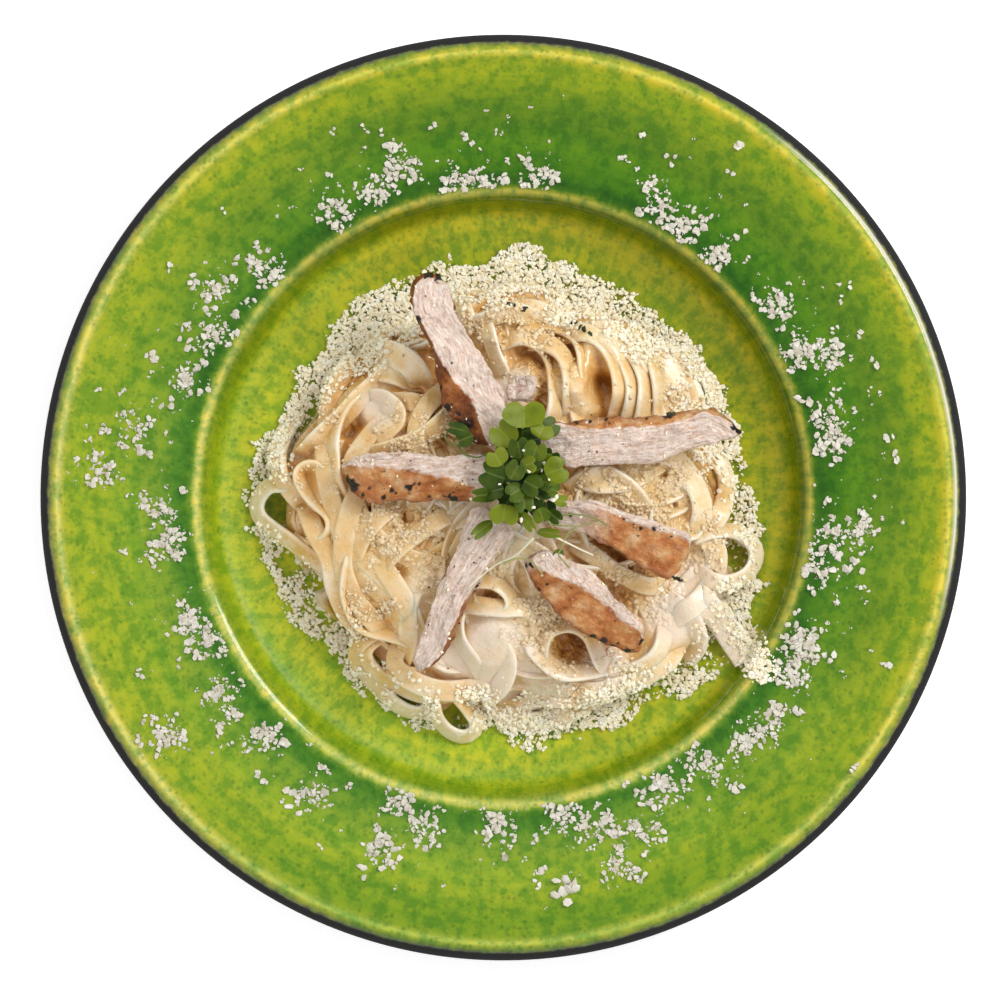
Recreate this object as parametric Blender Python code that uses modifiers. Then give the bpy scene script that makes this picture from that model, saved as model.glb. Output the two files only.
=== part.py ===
"""Fettuccine alfredo with sliced chicken and microgreens, served in a wide-rimmed pasta plate.

The plate is one turned stoneware solid. The noodles are one solid heap in its well, six strips of
grilled chicken lie on the heap like spokes, and a bunch of microgreens sits where they meet.

Units are metres and +Z is up. The origin is on the plate's axis, on the plane its foot stands on.
Sizes are written in millimetres times MM.
"""

import math

import bpy
import numpy as np

MM = 0.001
GAP = 0.3 * MM  # clearance between pieces that rest on each other

# ---- plate -------------------------------------------------------------------------------------
PLATE_RADIUS = 140 * MM
LIP_RADIUS = 136 * MM  # crest of the raised lip
LIP_HEIGHT = 32.5 * MM
RIDGE_RADIUS = 93 * MM  # crest of the ring between rim and well
RIDGE_HEIGHT = 24 * MM
GUTTER_RADIUS = 98 * MM  # lowest line of the rim, just outside the ridge
GUTTER_HEIGHT = 22.5 * MM
WALL_FOOT_RADIUS = 85 * MM  # where the dished floor turns up into the wall
WALL_FOOT_HEIGHT = 10.6 * MM
FLAT_FLOOR_RADIUS = 50 * MM
FLOOR_HEIGHT = 7 * MM
EDGE_RADIUS = 2.6 * MM  # rounding of the outer edge
BODY_THICKNESS = 4 * MM  # of the well's floor
FOOT_OUTER = 72.5 * MM
FOOT_INNER = 66 * MM
FOOT_CHAMFER = 0.7 * MM
PLATE_STEPS = 72

# ---- heap of noodles ---------------------------------------------------------------------------
HEAP_RADIUS = 73 * MM
HEAP_HEIGHT = 31 * MM  # above the floor, at the crown
HEAP_EDGE = 1.4 * MM  # thickness of the cheese apron at the outline
HEAP_FULLNESS = 2.3  # higher is flatter on top and steeper at the side
HEAP_RINGS = 15
HEAP_SPOKES = 90
HEAP_LIMIT = 83.5 * MM  # the outline stays on the floor of the well
# Bulges of the outline: direction in degrees, extra radius, half width in degrees.
HEAP_BULGES = (
    (-31, 13 * MM, 26),
    (-6, 1.5 * MM, 14),
    (30, 2.5 * MM, 9),
    (183, 6 * MM, 15),
    (88, 2 * MM, 16),
    (-78, 2.5 * MM, 22),
)
OUTLINE_WAVES = ((9, 0.8 * MM, 0.4), (17, 0.7 * MM, 1.9), (29, 0.4 * MM, 0.7))  # count, size, phase
# Folded bundles that stand out of the heap: centre x, y, radius of the fold and height.
FOLDS = (
    (-62 * MM, -2 * MM, 10 * MM, 3.4 * MM),
    (-36 * MM, 24 * MM, 13 * MM, 3.6 * MM),
    (-34 * MM, -28 * MM, 15 * MM, 3.6 * MM),
    (-27 * MM, -50 * MM, 13 * MM, 3.0 * MM),
    (0 * MM, -46 * MM, 12 * MM, 3.4 * MM),
    (19 * MM, -51 * MM, 9 * MM, 3.4 * MM),
    (46 * MM, -38 * MM, 14 * MM, 2.8 * MM),
    (44 * MM, 0 * MM, 11 * MM, 2.6 * MM),
    (27 * MM, 38 * MM, 12 * MM, 3.6 * MM),
    (46 * MM, 36 * MM, 11 * MM, 3.0 * MM),
    (8 * MM, 44 * MM, 12 * MM, 3.6 * MM),
)
FOLD_WIDTH = 4 * MM

# ---- strips of chicken -------------------------------------------------------------------------
# Each strip: spine from the inner end to the tip as (x, y) in mm, width and thickness along it in
# mm, roll about the spine in degrees (positive lifts its right edge) and drop of the tip in mm.
STRIPS = {
    "chicken_slice_1": {  # upper left
        "spine": ((-4.5, 19.5), (-8.5, 29), (-12.5, 39), (-16.5, 49), (-20.5, 58), (-20.5, 67)),
        "width": (12, 15.5, 15, 13.5, 12, 8),
        "thick": (9, 10, 10, 9.5, 8.5, 5),
        "roll": 14,
        "drop": 9,
    },
    "chicken_slice_2": {  # right
        "spine": ((14, 16.5), (26, 16.5), (38, 17.2), (50, 19), (62, 20.5), (71.5, 20)),
        "width": (12, 14, 14, 12.5, 10, 4),
        "thick": (8.5, 9.5, 9.5, 9, 8, 4),
        "roll": -10,
        "drop": 8,
    },
    "chicken_slice_3": {  # left
        "spine": ((-8.5, 6.3), (-17, 6.2), (-25, 6), (-34, 5.8), (-42, 6), (-48, 7)),
        "width": (12, 13.5, 14.5, 15, 13, 7),
        "thick": (9, 10, 10, 10, 9, 5),
        "roll": -12,
        "drop": 5,
    },
    "chicken_slice_4": {  # lower left
        "spine": ((-2, -6.5), (-7, -15), (-12, -24), (-16.5, -34), (-21, -43), (-24.5, -51.5)),
        "width": (12, 12.5, 12, 11.5, 9.5, 6),
        "thick": (9, 9.5, 9, 9, 8, 5),
        "roll": -4,
        "drop": 7,
    },
    "chicken_slice_5": {  # right, below the second
        "spine": ((15, -3), (23.5, -5.3), (32, -8.8), (41, -12.6), (49, -15.8), (56, -18)),
        "width": (10.5, 12, 13.5, 14.5, 15, 13),
        "thick": (8, 9, 9.5, 9.5, 9, 6),
        "roll": 8,
        "drop": 5,
    },
    "chicken_slice_6": {  # lower right
        "spine": ((8.5, -18), (14.5, -25), (21.5, -30.5), (29, -36), (36, -41), (42, -45)),
        "width": (12, 14, 14.5, 13.5, 11, 7),
        "thick": (9, 10, 10, 9.5, 9, 6),
        "roll": 12,
        "drop": 6,
    },
}
STRIP_STATIONS = 10
STRIP_SIDES = 10
STRIP_SQUARENESS = 0.62  # 1 is an ellipse, lower is more like a rectangle
STRIP_ENDS = (0.8, 0.6)  # size of the section at the inner end and at the tip

# ---- microgreens -------------------------------------------------------------------------------
GREENS_CENTRE = (5.5 * MM, 8.5 * MM)
GREENS_RADIUS = 15.5 * MM
GREENS_STRETCH = 4 * MM  # longer along Y than along X by this at each end
GREENS_HEIGHT = 11 * MM
GREENS_EDGE = 1.6 * MM
GREENS_FULLNESS = 3.0
GREENS_RINGS = 7
GREENS_SPOKES = 36
GREENS_WAVES = ((7, 1.2 * MM, 0.3), (11, 0.9 * MM, 1.2))
LEAF_PITCH = 6.5 * MM  # distance between the leaves that dimple its top
LEAF_RELIEF = 1.1 * MM
STEMS_RADIUS = 7 * MM  # of the knot of stems below the leaves, which rests on the noodles


def clear_scene():
    """Removes every object, so that the model starts from nothing."""
    for item in list(bpy.data.objects):
        bpy.data.objects.remove(item, do_unlink=True)


def make_collection(name):
    collection = bpy.data.collections.new(name)
    bpy.context.scene.collection.children.link(collection)
    return collection


def make_material(name, colour, roughness):
    material = bpy.data.materials.new(name)
    material.use_nodes = True
    shader = material.node_tree.nodes["Principled BSDF"]
    shader.inputs["Base Color"].default_value = (*colour, 1)
    shader.inputs["Roughness"].default_value = roughness
    shader.inputs["Metallic"].default_value = 0
    return material


def add_mesh(name, points, edges, faces, collection, material):
    """A new object at the origin that holds these points, edges and faces."""
    mesh = bpy.data.meshes.new(name)
    mesh.from_pydata([tuple(map(float, p)) for p in points], edges, faces)
    mesh.materials.append(material)
    item = bpy.data.objects.new(name, mesh)
    collection.objects.link(item)
    return item


def smooth(item):
    item.data.shade_smooth()
    item.data.set_sharp_from_angle(angle=math.radians(40))


# ---- plate -------------------------------------------------------------------------------------
def arc(centre, radius, start, end, steps):
    """Points on a circle in the (r, z) plane, from one angle to the other, in degrees."""
    angles = np.radians(np.linspace(start, end, steps + 1))
    return [(centre[0] + radius * math.cos(a), centre[1] + radius * math.sin(a)) for a in angles]


def floor_curve():
    """The dished floor: level to FLAT_FLOOR_RADIUS, then a parabola up to the wall's foot."""
    radii = np.linspace(FLAT_FLOOR_RADIUS, WALL_FOOT_RADIUS, 5)
    share = (radii - FLAT_FLOOR_RADIUS) / (WALL_FOOT_RADIUS - FLAT_FLOOR_RADIUS)
    heights = FLOOR_HEIGHT + (WALL_FOOT_HEIGHT - FLOOR_HEIGHT) * share**2
    return [(0, FLOOR_HEIGHT)] + list(zip(radii.tolist(), heights.tolist()))


def plate_profile():
    """Half of the plate's section, from the axis over the rim and back under it to the axis."""
    wall = [
        (WALL_FOOT_RADIUS + 3 * MM, WALL_FOOT_HEIGHT + 2.4 * MM),
        (RIDGE_RADIUS - 3 * MM, RIDGE_HEIGHT - 6 * MM),
        (RIDGE_RADIUS - 1.7 * MM, RIDGE_HEIGHT - 1.6 * MM),
    ]
    ridge = [
        (RIDGE_RADIUS, RIDGE_HEIGHT),
        (RIDGE_RADIUS + 2.4 * MM, RIDGE_HEIGHT - 0.9 * MM),
        (GUTTER_RADIUS, GUTTER_HEIGHT),
    ]
    share = np.linspace(0.25, 1, 4)
    rim_radii = GUTTER_RADIUS + (LIP_RADIUS - GUTTER_RADIUS) * share
    rim_heights = GUTTER_HEIGHT + (LIP_HEIGHT - GUTTER_HEIGHT) * share**1.25
    rim = list(zip(rim_radii.tolist(), rim_heights.tolist()))
    edge_centre = (PLATE_RADIUS - EDGE_RADIUS, LIP_HEIGHT - EDGE_RADIUS)
    edge = arc(edge_centre, EDGE_RADIUS, 80, -80, 6)
    underside = [
        (LIP_RADIUS - 8 * MM, LIP_HEIGHT - 8 * MM),
        (GUTTER_RADIUS + 2 * MM, GUTTER_HEIGHT - 6 * MM),
        (RIDGE_RADIUS + 1 * MM, RIDGE_HEIGHT - 10.5 * MM),
        (WALL_FOOT_RADIUS + 3 * MM, WALL_FOOT_HEIGHT - 3.6 * MM),
        (FOOT_OUTER + 6 * MM, FLOOR_HEIGHT - BODY_THICKNESS + 0.6 * MM),
        (FOOT_OUTER + 1 * MM, FLOOR_HEIGHT - BODY_THICKNESS),
    ]
    foot = [
        (FOOT_OUTER, FOOT_CHAMFER),
        (FOOT_OUTER - FOOT_CHAMFER, 0),
        (FOOT_INNER + FOOT_CHAMFER, 0),
        (FOOT_INNER, FOOT_CHAMFER),
        (FOOT_INNER - 1 * MM, FLOOR_HEIGHT - BODY_THICKNESS),
        (0, FLOOR_HEIGHT - BODY_THICKNESS),
    ]
    return floor_curve() + wall + ridge + rim + edge + underside + foot


def make_plate(collection):
    """The profile turned about the Z axis."""
    profile = [(r, 0, z) for r, z in plate_profile()]
    edges = [(i, i + 1) for i in range(len(profile) - 1)]
    material = make_material("green_glazed_stoneware", (0.26, 0.38, 0.02), 0.25)
    plate = add_mesh("plate", profile, edges, [], collection, material)
    screw = plate.modifiers.new("turned", "SCREW")
    screw.axis = "Z"
    screw.steps = PLATE_STEPS
    screw.render_steps = PLATE_STEPS
    screw.use_merge_vertices = True
    screw.merge_threshold = 0.0001
    screw.use_smooth_shade = True
    return plate


# ---- domes: the heap and the bunch of greens ---------------------------------------------------
def floor_height(radius):
    """Height of the well's floor at a distance from the axis."""
    radii, heights = zip(*floor_curve())
    return np.interp(radius, radii, heights)


def waves(angle, table):
    """Sum of sines round the outline: count, size and phase of each."""
    return sum(size * np.sin(count * angle + phase) for count, size, phase in table)


def heap_outline(angle):
    """Radius of the heap in a direction: a circle, its bulges and a small unevenness."""
    radius = HEAP_RADIUS + waves(angle, OUTLINE_WAVES)
    for direction, extra, width in HEAP_BULGES:
        turn = np.degrees(np.angle(np.exp(1j * (angle - math.radians(direction)))))
        radius = radius + extra * np.exp(-((turn / width) ** 2))
    return np.minimum(radius, HEAP_LIMIT)


def dome(share, edge, height, fullness):
    """Height at a share of the way out: the full height in the middle, edge at the outline."""
    return edge + (height - edge) * (1 - np.clip(share, 0, 1) ** fullness) ** 0.85


def heap_top(x, y):
    """Height of the heap's surface over a point: floor, dome and the folded bundles."""
    radius, angle = np.hypot(x, y), np.arctan2(y, x)
    share = radius / heap_outline(angle)
    folds = sum(
        size * np.exp(-(((np.hypot(x - cx, y - cy) - r) / FOLD_WIDTH) ** 2))
        for cx, cy, r, size in FOLDS
    )
    folds = folds * np.clip((1 - share) / 0.15, 0, 1)
    body = dome(share, HEAP_EDGE, HEAP_HEIGHT, HEAP_FULLNESS)
    return floor_height(radius) + GAP + body + folds


def greens_outline(angle):
    """Radius of the bunch in a direction, stretched along Y."""
    stretch = GREENS_STRETCH * np.sin(angle) ** 2
    return GREENS_RADIUS + stretch + waves(angle, GREENS_WAVES)


def closed_dome(name, centre, outline, top, bottom, rings, spokes, collection, material):
    """A closed body between two height functions, inside an outline given by direction.

    The top has all its rings and the bottom every third one, down to a point in the middle.
    """
    angle = np.arange(spokes) * 2 * math.pi / spokes
    reach = outline(angle)
    top_shares = np.linspace(0, 1, rings + 1)[1:]
    bottom_shares = top_shares[::-3]
    points, starts = [], []
    for height, shares in ((top, top_shares), (bottom, bottom_shares)):
        for share in shares:
            x = centre[0] + reach * share * np.cos(angle)
            y = centre[1] + reach * share * np.sin(angle)
            starts.append(len(points))
            points.extend(zip(x, y, height(x, y)))
    first, last = starts[0], starts[-1]
    poles = [len(points), len(points) + 1]
    for height in (top, bottom):
        z = height(np.array([centre[0]]), np.array([centre[1]]))[0]
        points.append((centre[0], centre[1], z))
    faces = []
    for i in range(spokes):
        j = (i + 1) % spokes
        faces.append((poles[0], first + i, first + j))
        for inner, outer in zip(starts, starts[1:]):
            faces.append((inner + i, outer + i, outer + j, inner + j))
        faces.append((last + i, poles[1], last + j))
    body = add_mesh(name, points, [], faces, collection, material)
    smooth(body)
    return body


def make_heap(collection):
    def underside(x, y):
        return floor_height(np.hypot(x, y)) + GAP

    material = make_material("fettuccine_in_cream", (0.80, 0.66, 0.42), 0.4)
    return closed_dome(
        "fettuccine_heap",
        (0, 0),
        heap_outline,
        heap_top,
        underside,
        HEAP_RINGS,
        HEAP_SPOKES,
        collection,
        material,
    )


def make_greens(collection, base):
    """The bunch: a dome dimpled by its leaves, whose stems reach down between the strips."""

    def top(x, y):
        dx, dy = x - GREENS_CENTRE[0], y - GREENS_CENTRE[1]
        share = np.hypot(dx, dy) / greens_outline(np.arctan2(dy, dx))
        turns = 2 * math.pi / LEAF_PITCH
        leaves = LEAF_RELIEF * np.sin(turns * dx) * np.cos(turns * dy) * (1 - share)
        return base + dome(share, GREENS_EDGE, GREENS_HEIGHT, GREENS_FULLNESS) + leaves

    def underside(x, y):
        share = np.hypot(x - GREENS_CENTRE[0], y - GREENS_CENTRE[1]) / STEMS_RADIUS
        stems = base - (base - heap_top(x, y) - GAP) * (1 - share**2)
        return np.where(share < 1, stems, base)

    material = make_material("microgreens", (0.10, 0.22, 0.02), 0.45)
    return closed_dome(
        "microgreens",
        GREENS_CENTRE,
        greens_outline,
        top,
        underside,
        GREENS_RINGS,
        GREENS_SPOKES,
        collection,
        material,
    )


# ---- strips of chicken -------------------------------------------------------------------------
def strip_stations(strip):
    """Stations along the spine, each a rounded rectangle across it, before the strip is laid down.

    The spine is a cubic through its points. Along it the tip sags by its drop.
    """
    marks = np.linspace(0, 1, len(strip["width"]))
    run = np.linspace(0, 1, STRIP_STATIONS)
    x, y = (np.polyval(np.polyfit(marks, values, 3), run) * MM for values in zip(*strip["spine"]))
    width = np.interp(run, marks, strip["width"]) * MM
    thick = np.interp(run, marks, strip["thick"]) * MM
    for end, size in zip((0, -1), STRIP_ENDS):
        width[end] *= size
        thick[end] *= size
    ahead = np.stack([np.gradient(x), np.gradient(y)])
    ahead = ahead / np.hypot(*ahead)
    angle = np.arange(STRIP_SIDES) * 2 * math.pi / STRIP_SIDES
    across = np.sign(np.cos(angle)) * np.abs(np.cos(angle)) ** STRIP_SQUARENESS
    above = np.sign(np.sin(angle)) * np.abs(np.sin(angle)) ** STRIP_SQUARENESS
    across, above = np.outer(width / 2, across), np.outer(thick / 2, above)
    roll = math.radians(strip["roll"])
    side = across * math.cos(roll) - above * math.sin(roll)
    height = across * math.sin(roll) + above * math.cos(roll)
    sag = strip["drop"] * MM * run**1.6
    right_x, right_y = ahead[1], -ahead[0]
    return np.stack(
        [
            x[:, None] + right_x[:, None] * side,
            y[:, None] + right_y[:, None] * side,
            height - sag[:, None],
        ],
        axis=-1,
    )


def lay_down(stations):
    """Lowers or lifts a strip until its nearest point is GAP above the heap."""
    between = (stations[1:] + stations[:-1]) / 2
    middles = [(points + np.roll(points, -1, axis=1)) / 2 for points in (stations, between)]
    tested = np.concatenate([stations, between, *middles])
    x, y, z = np.moveaxis(tested, -1, 0)
    lift = np.max(heap_top(x, y) - z) + GAP
    return stations + np.array([0, 0, lift])


def make_strip(name, strip, collection, material):
    """A strip lofted through its stations and closed at both ends."""
    stations = lay_down(strip_stations(strip))
    sides = STRIP_SIDES
    last = (STRIP_STATIONS - 1) * sides
    faces = [tuple(range(sides)), tuple(range(last + sides - 1, last - 1, -1))]
    for i in range(STRIP_STATIONS - 1):
        for k in range(sides):
            a, b = i * sides + k, i * sides + (k + 1) % sides
            faces.append((b, a, a + sides, b + sides))
    body = add_mesh(name, stations.reshape(-1, 3), [], faces, collection, material)
    smooth(body)
    return stations


def top_of_strips(strips):
    """Height of the highest strip under the bunch of greens."""
    points = np.concatenate([stations.reshape(-1, 3) for stations in strips])
    away = np.hypot(points[:, 0] - GREENS_CENTRE[0], points[:, 1] - GREENS_CENTRE[1])
    return points[away < GREENS_RADIUS + GREENS_STRETCH + 8 * MM, 2].max()


def build():
    clear_scene()
    parts = make_collection("fettuccine_alfredo")
    make_plate(parts)
    make_heap(parts)
    chicken = make_material("grilled_chicken", (0.66, 0.42, 0.30), 0.5)
    strips = [make_strip(name, strip, parts, chicken) for name, strip in STRIPS.items()]
    make_greens(parts, top_of_strips(strips) + GAP)


build()
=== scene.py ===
import math

import bpy
import numpy as np
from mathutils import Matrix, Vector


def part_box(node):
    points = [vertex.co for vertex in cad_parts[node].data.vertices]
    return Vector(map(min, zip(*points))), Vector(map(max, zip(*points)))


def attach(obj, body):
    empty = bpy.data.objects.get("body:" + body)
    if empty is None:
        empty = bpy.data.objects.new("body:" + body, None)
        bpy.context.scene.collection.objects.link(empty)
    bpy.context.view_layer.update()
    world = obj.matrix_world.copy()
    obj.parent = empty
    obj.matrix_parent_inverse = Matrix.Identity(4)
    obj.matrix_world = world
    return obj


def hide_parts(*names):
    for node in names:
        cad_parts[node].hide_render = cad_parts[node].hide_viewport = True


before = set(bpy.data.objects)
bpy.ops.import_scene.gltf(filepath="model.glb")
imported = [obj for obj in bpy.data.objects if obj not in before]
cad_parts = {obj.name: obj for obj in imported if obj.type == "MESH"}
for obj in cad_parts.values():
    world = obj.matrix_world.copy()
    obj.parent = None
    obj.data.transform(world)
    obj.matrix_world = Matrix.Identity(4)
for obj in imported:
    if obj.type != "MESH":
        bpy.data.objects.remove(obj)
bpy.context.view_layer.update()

mm = 0.001
turn = 2 * math.pi
print("frame loaded:", len(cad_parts), "nodes")


# How nodes, meshes and smooth random fields are made

def linearColour(code):
    # sRGB hex to linear light: each channel through the sRGB curve, and an alpha of 1
    values = np.array([int(code[i:i + 2], 16) for i in (1, 3, 5)]) / 255
    light = np.where(values <= 0.04045, values / 12.92, ((values + 0.055) / 1.055) ** 2.4)
    return (*light.tolist(), 1.0)


def fillSockets(tree, node, values):
    # Each named input gets a link, a number or a hex colour
    for name, value in dict(values).items():
        if isinstance(value, bpy.types.NodeSocket):
            tree.links.new(value, node.inputs[name])
        else:
            node.inputs[name].default_value = linearColour(value) if isinstance(value, str) else value


def addNode(tree, kind, inputs=(), stops=(), out=None, **settings):
    # One node, and the output that others link to: the one named by out, or else the first in use.
    # Settings are the node's own properties, stops are a colour ramp's places and hex colours.
    node = tree.nodes.new("ShaderNode" + kind)
    for name, value in settings.items():
        setattr(node, name, value)
    fillSockets(tree, node, inputs)
    for i, (place, code) in enumerate(stops):
        elements = node.color_ramp.elements
        stop = elements[i] if i < 2 else elements.new(place)
        stop.position = place
        stop.color = linearColour(code)
    return node.outputs[out] if out else next(socket for socket in node.outputs if socket.enabled)


def newMaterial(name):
    # A material that holds only a Principled shader and its output
    material = bpy.data.materials.new(name)
    material.use_nodes = True
    tree = material.node_tree
    return material, tree, tree.nodes["Principled BSDF"]


def noise(points, cell, seed):
    # Smooth noise from -1 to 1: random values on a cubic lattice of that cell, eased between corners
    points = np.asarray(points, float)
    if points.shape[-1] == 2:
        points = np.concatenate([points, np.zeros_like(points[..., :1])], axis=-1)
    lattice = np.random.default_rng(seed).uniform(-1, 1, (32, 32, 32))
    place = points / cell + 512
    base = np.floor(place).astype(int)
    part = place - base
    part = part * part * (3 - 2 * part)
    total = 0
    for corner in np.ndindex(2, 2, 2):
        share = np.prod(np.where(corner, part, 1 - part), axis=-1)
        i, j, k = np.moveaxis((base + corner) % 32, -1, 0)
        total = total + share * lattice[i, j, k]
    return total


def ease(value, low, high):
    # 0 below low, 1 above high, and a smooth step between
    share = np.clip((value - low) / (high - low), 0, 1)
    return share * share * (3 - 2 * share)


def rowsBetween(rows, places):
    # Rows of values read at places between them, mixed from the two beside
    return np.stack([np.interp(places, np.arange(len(rows)), column) for column in rows.T], axis=1)


def smoothPath(controls, step):
    # A curve through the control points (Catmull-Rom), resampled at even steps of its length
    controls = np.asarray(controls, float)
    ends = 2 * controls[[0, -1]] - controls[[1, -2]]
    a = np.concatenate([ends[:1], controls[:-2]])
    b, c = controls[:-1], controls[1:]
    d = np.concatenate([controls[2:], ends[1:]])
    t = np.linspace(0, 1, 12, endpoint=False)[:, None, None]
    curve = 2 * b + (c - a) * t + (2 * a - 5 * b + 4 * c - d) * t**2 + (3 * b - a - 3 * c + d) * t**3
    curve = np.concatenate([curve.transpose(1, 0, 2).reshape(-1, controls.shape[1]) / 2, controls[-1:]])
    run = np.concatenate([[0], np.cumsum(np.hypot(*np.diff(curve[:, :2], axis=0).T))])
    even = np.linspace(0, run[-1], max(round(run[-1] / step), 4) + 1)
    return np.stack([np.interp(even, run, column) for column in curve.T], axis=1)


def gridFaces(rows, columns, closedRows=False):
    # Quads of a grid of points numbered row by row and closed round its columns
    i = np.arange(rows if closedRows else rows - 1)[:, None]
    j = np.arange(columns)
    nextRow, nextColumn = (i + 1) % rows, (j + 1) % columns
    corners = (i * columns + j, nextRow * columns + j, nextRow * columns + nextColumn,
               i * columns + nextColumn)
    return np.stack(corners, axis=-1).reshape(-1, 4)


def poledFaces(rows, columns):
    # The same quads, and fans from the first and the last row to two points that follow the grid
    total = rows * columns
    near = np.arange(columns)
    far = (near + 1) % columns
    return [
        gridFaces(rows, columns),
        np.stack([np.full(columns, total), near, far], axis=1),
        np.stack([np.full(columns, total + 1), total - columns + far, total - columns + near], axis=1),
    ]


def makePiece(name, points, faces, material, marks=(), smooth=True):
    # One mesh at the origin: points in metres, faces as arrays with one face a row,
    # marks are named values, one a point, for the material to read
    points = np.asarray(points, np.float32).reshape(-1, 3)
    mesh = bpy.data.meshes.new(name)
    mesh.vertices.add(len(points))
    mesh.vertices.foreach_set("co", points.ravel())
    sides = np.concatenate([np.full(len(group), group.shape[1]) for group in faces])
    corners = np.concatenate([group.ravel() for group in faces])
    mesh.loops.add(len(corners))
    mesh.loops.foreach_set("vertex_index", corners.astype(np.int32))
    mesh.polygons.add(len(sides))
    mesh.polygons.foreach_set("loop_start", (np.cumsum(sides) - sides).astype(np.int32))
    mesh.polygons.foreach_set("use_smooth", np.full(len(sides), smooth))
    for label, values in dict(marks).items():
        layer = mesh.attributes.new(label, "FLOAT", "POINT")
        layer.data.foreach_set("value", np.asarray(values, np.float32).ravel())
    mesh.update(calc_edges=True)
    mesh.materials.append(material)
    piece = bpy.data.objects.new(name, mesh)
    bpy.context.scene.collection.objects.link(piece)
    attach(piece, "root")
    print(f"{name}: {int((sides - 2).sum())} triangles")
    return piece


# Camera and light: straight above, a long lens, one large soft light from the right and behind

view = {
    "height": 1.8,  # metres above the table
    "aside": (-0.996 * mm, -0.15 * mm),  # from the plate's axis
    "lens": 211.06,  # mm
    "room": (0.98, 0.46),  # strength of the light from the sides and from overhead
    "keyPower": 6.6,  # watts
    "keySize": 0.40,  # metres
    "keyFrom": (0.66, 0.46, 0.84),
}

scene = bpy.context.scene
cameraData = bpy.data.cameras.new("camera")
cameraData.lens = view["lens"]
cameraData.clip_end = 20
camera = bpy.data.objects.new("camera", cameraData)
camera.location = (*view["aside"], view["height"])
scene.collection.objects.link(camera)
scene.camera = camera
scene.view_settings.view_transform = "Standard"  # keeps the glaze as green as it is

world = bpy.data.worlds.new("studio")
world.use_nodes = True
background = world.node_tree.nodes["Background"]
sky = addNode(world.node_tree, "TexCoord", out="Generated")
skyHeight = addNode(world.node_tree, "SeparateXYZ", {0: sky}, out="Z")
roomLight = addNode(world.node_tree, "MapRange",
                    {0: skyHeight, 1: 0.78, 2: 0.97, 3: view["room"][0], 4: view["room"][1]})
fillSockets(world.node_tree, background, {"Color": "#ffffff", "Strength": roomLight})
scene.world = world

keyData = bpy.data.lights.new("keyLight", "AREA")
keyData.shape = "SQUARE"
keyData.size = view["keySize"]
keyData.energy = view["keyPower"]
key = bpy.data.objects.new("keyLight", keyData)
key.location = view["keyFrom"]
towards = -key.location.normalized()
key.rotation_mode = "QUATERNION"
key.rotation_quaternion = towards.to_track_quat("-Z", "Y")
scene.collection.objects.link(key)

# an opal sheet lit from below, on which the plate hardly casts a shadow
floorMaterial, tree, shader = newMaterial("opalLightTable")
fillSockets(tree, shader, {"Base Color": "#ffffff", "Emission Color": "#ffffff", "Emission Strength": 0.45,
                           "Roughness": 0.9, "Specular IOR Level": 0.1})
floorMesh = bpy.data.meshes.new("floor")
floorMesh.from_pydata([(-3, -3, 0), (3, -3, 0), (3, 3, 0), (-3, 3, 0)], [], [(0, 1, 2, 3)])
floorMesh.materials.append(floorMaterial)
floor = bpy.data.objects.new("floor", floorMesh)
scene.collection.objects.link(floor)
print("camera and light placed")


# The plate: thrown stoneware, glazed green, with a black edge

plate = {
    "floor": 7.0,  # mm above the foot
    "wall": ((85, 10.6), (86.8, 11.6), (88.4, 13.9), (89.4, 17.6), (90.0, 20.4), (90.8, 22.3), (91.8, 23.1),
             (93, 23.6), (94.2, 23.95), (95.4, 23.95), (96.8, 23.85), (98, 23.75)),
    "rimRise": 8.75,  # mm from the gutter to the lip
    "lip": ((135.2, 32.5), (136.1, 32.3), (137, 31.6), (138.1, 30.3), (139.2, 28.9), (139.85, 27.8),
            (140, 27), (139.6, 26.4), (138.4, 26.1), (136, 25.7)),
    "underside": ((128, 24.5), (114, 20.4), (100, 16.5), (94, 13.5), (88, 7.0), (83.5, 4.6), (78.5, 3.6),
                  (73.5, 3.0), (72.9, 2.2), (72.5, 0.7), (71.8, 0), (66.7, 0), (66, 0.7), (65.6, 2.2),
                  (65, 3), (40, 3), (8, 3)),
    "steps": 384,
}


def floorHeight(radius):
    # Metres: level to 50 mm out, then a parabola up to the foot of the wall
    return (plate["floor"] + 3.6 * (np.clip(radius / mm - 50, 0, 35) / 35) ** 2) * mm


floorRun = np.linspace(2, 85, 36)[:-1]
rimShare = np.linspace(0, 1, 34)[1:]
upper = np.concatenate([
    np.stack([floorRun, floorHeight(floorRun * mm) / mm], axis=1),
    smoothPath(plate["wall"], 0.55),
    np.stack([98 + 37.2 * rimShare, 23.75 + plate["rimRise"] * rimShare**1.25], axis=1),
])
lip = smoothPath(plate["lip"], 0.45)[1:]
lower = smoothPath(plate["underside"], 1.6)
lower[:, 1] = np.maximum(lower[:, 1], 0)
profile = np.concatenate([upper, lip, lower]) * mm


def plateTop(radius):
    # Height of the glazed upper side at a radius
    return np.interp(radius, upper[:, 0] * mm, upper[:, 1] * mm)


angles = np.arange(plate["steps"]) * turn / plate["steps"]
ring = np.stack([np.cos(angles), np.sin(angles)], axis=-1)
turned = np.concatenate([profile[:, None, :1] * ring, np.repeat(profile[:, None, 1:], len(ring), axis=1)],
                        axis=2)
# the thrower's hand: the rim wanders by a quarter of a millimetre
wander = 0.25 * mm * np.sin(3 * angles + 0.7) * ease(profile[:, :1], 98 * mm, 136 * mm)
turned[..., 2] += np.where(profile[:, 1:] > 20 * mm, wander, 0) * ease(turned[..., 2], 16 * mm, 25 * mm)
poles = np.array([[0, 0, profile[0, 1]], [0, 0, profile[-1, 1]]])

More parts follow.
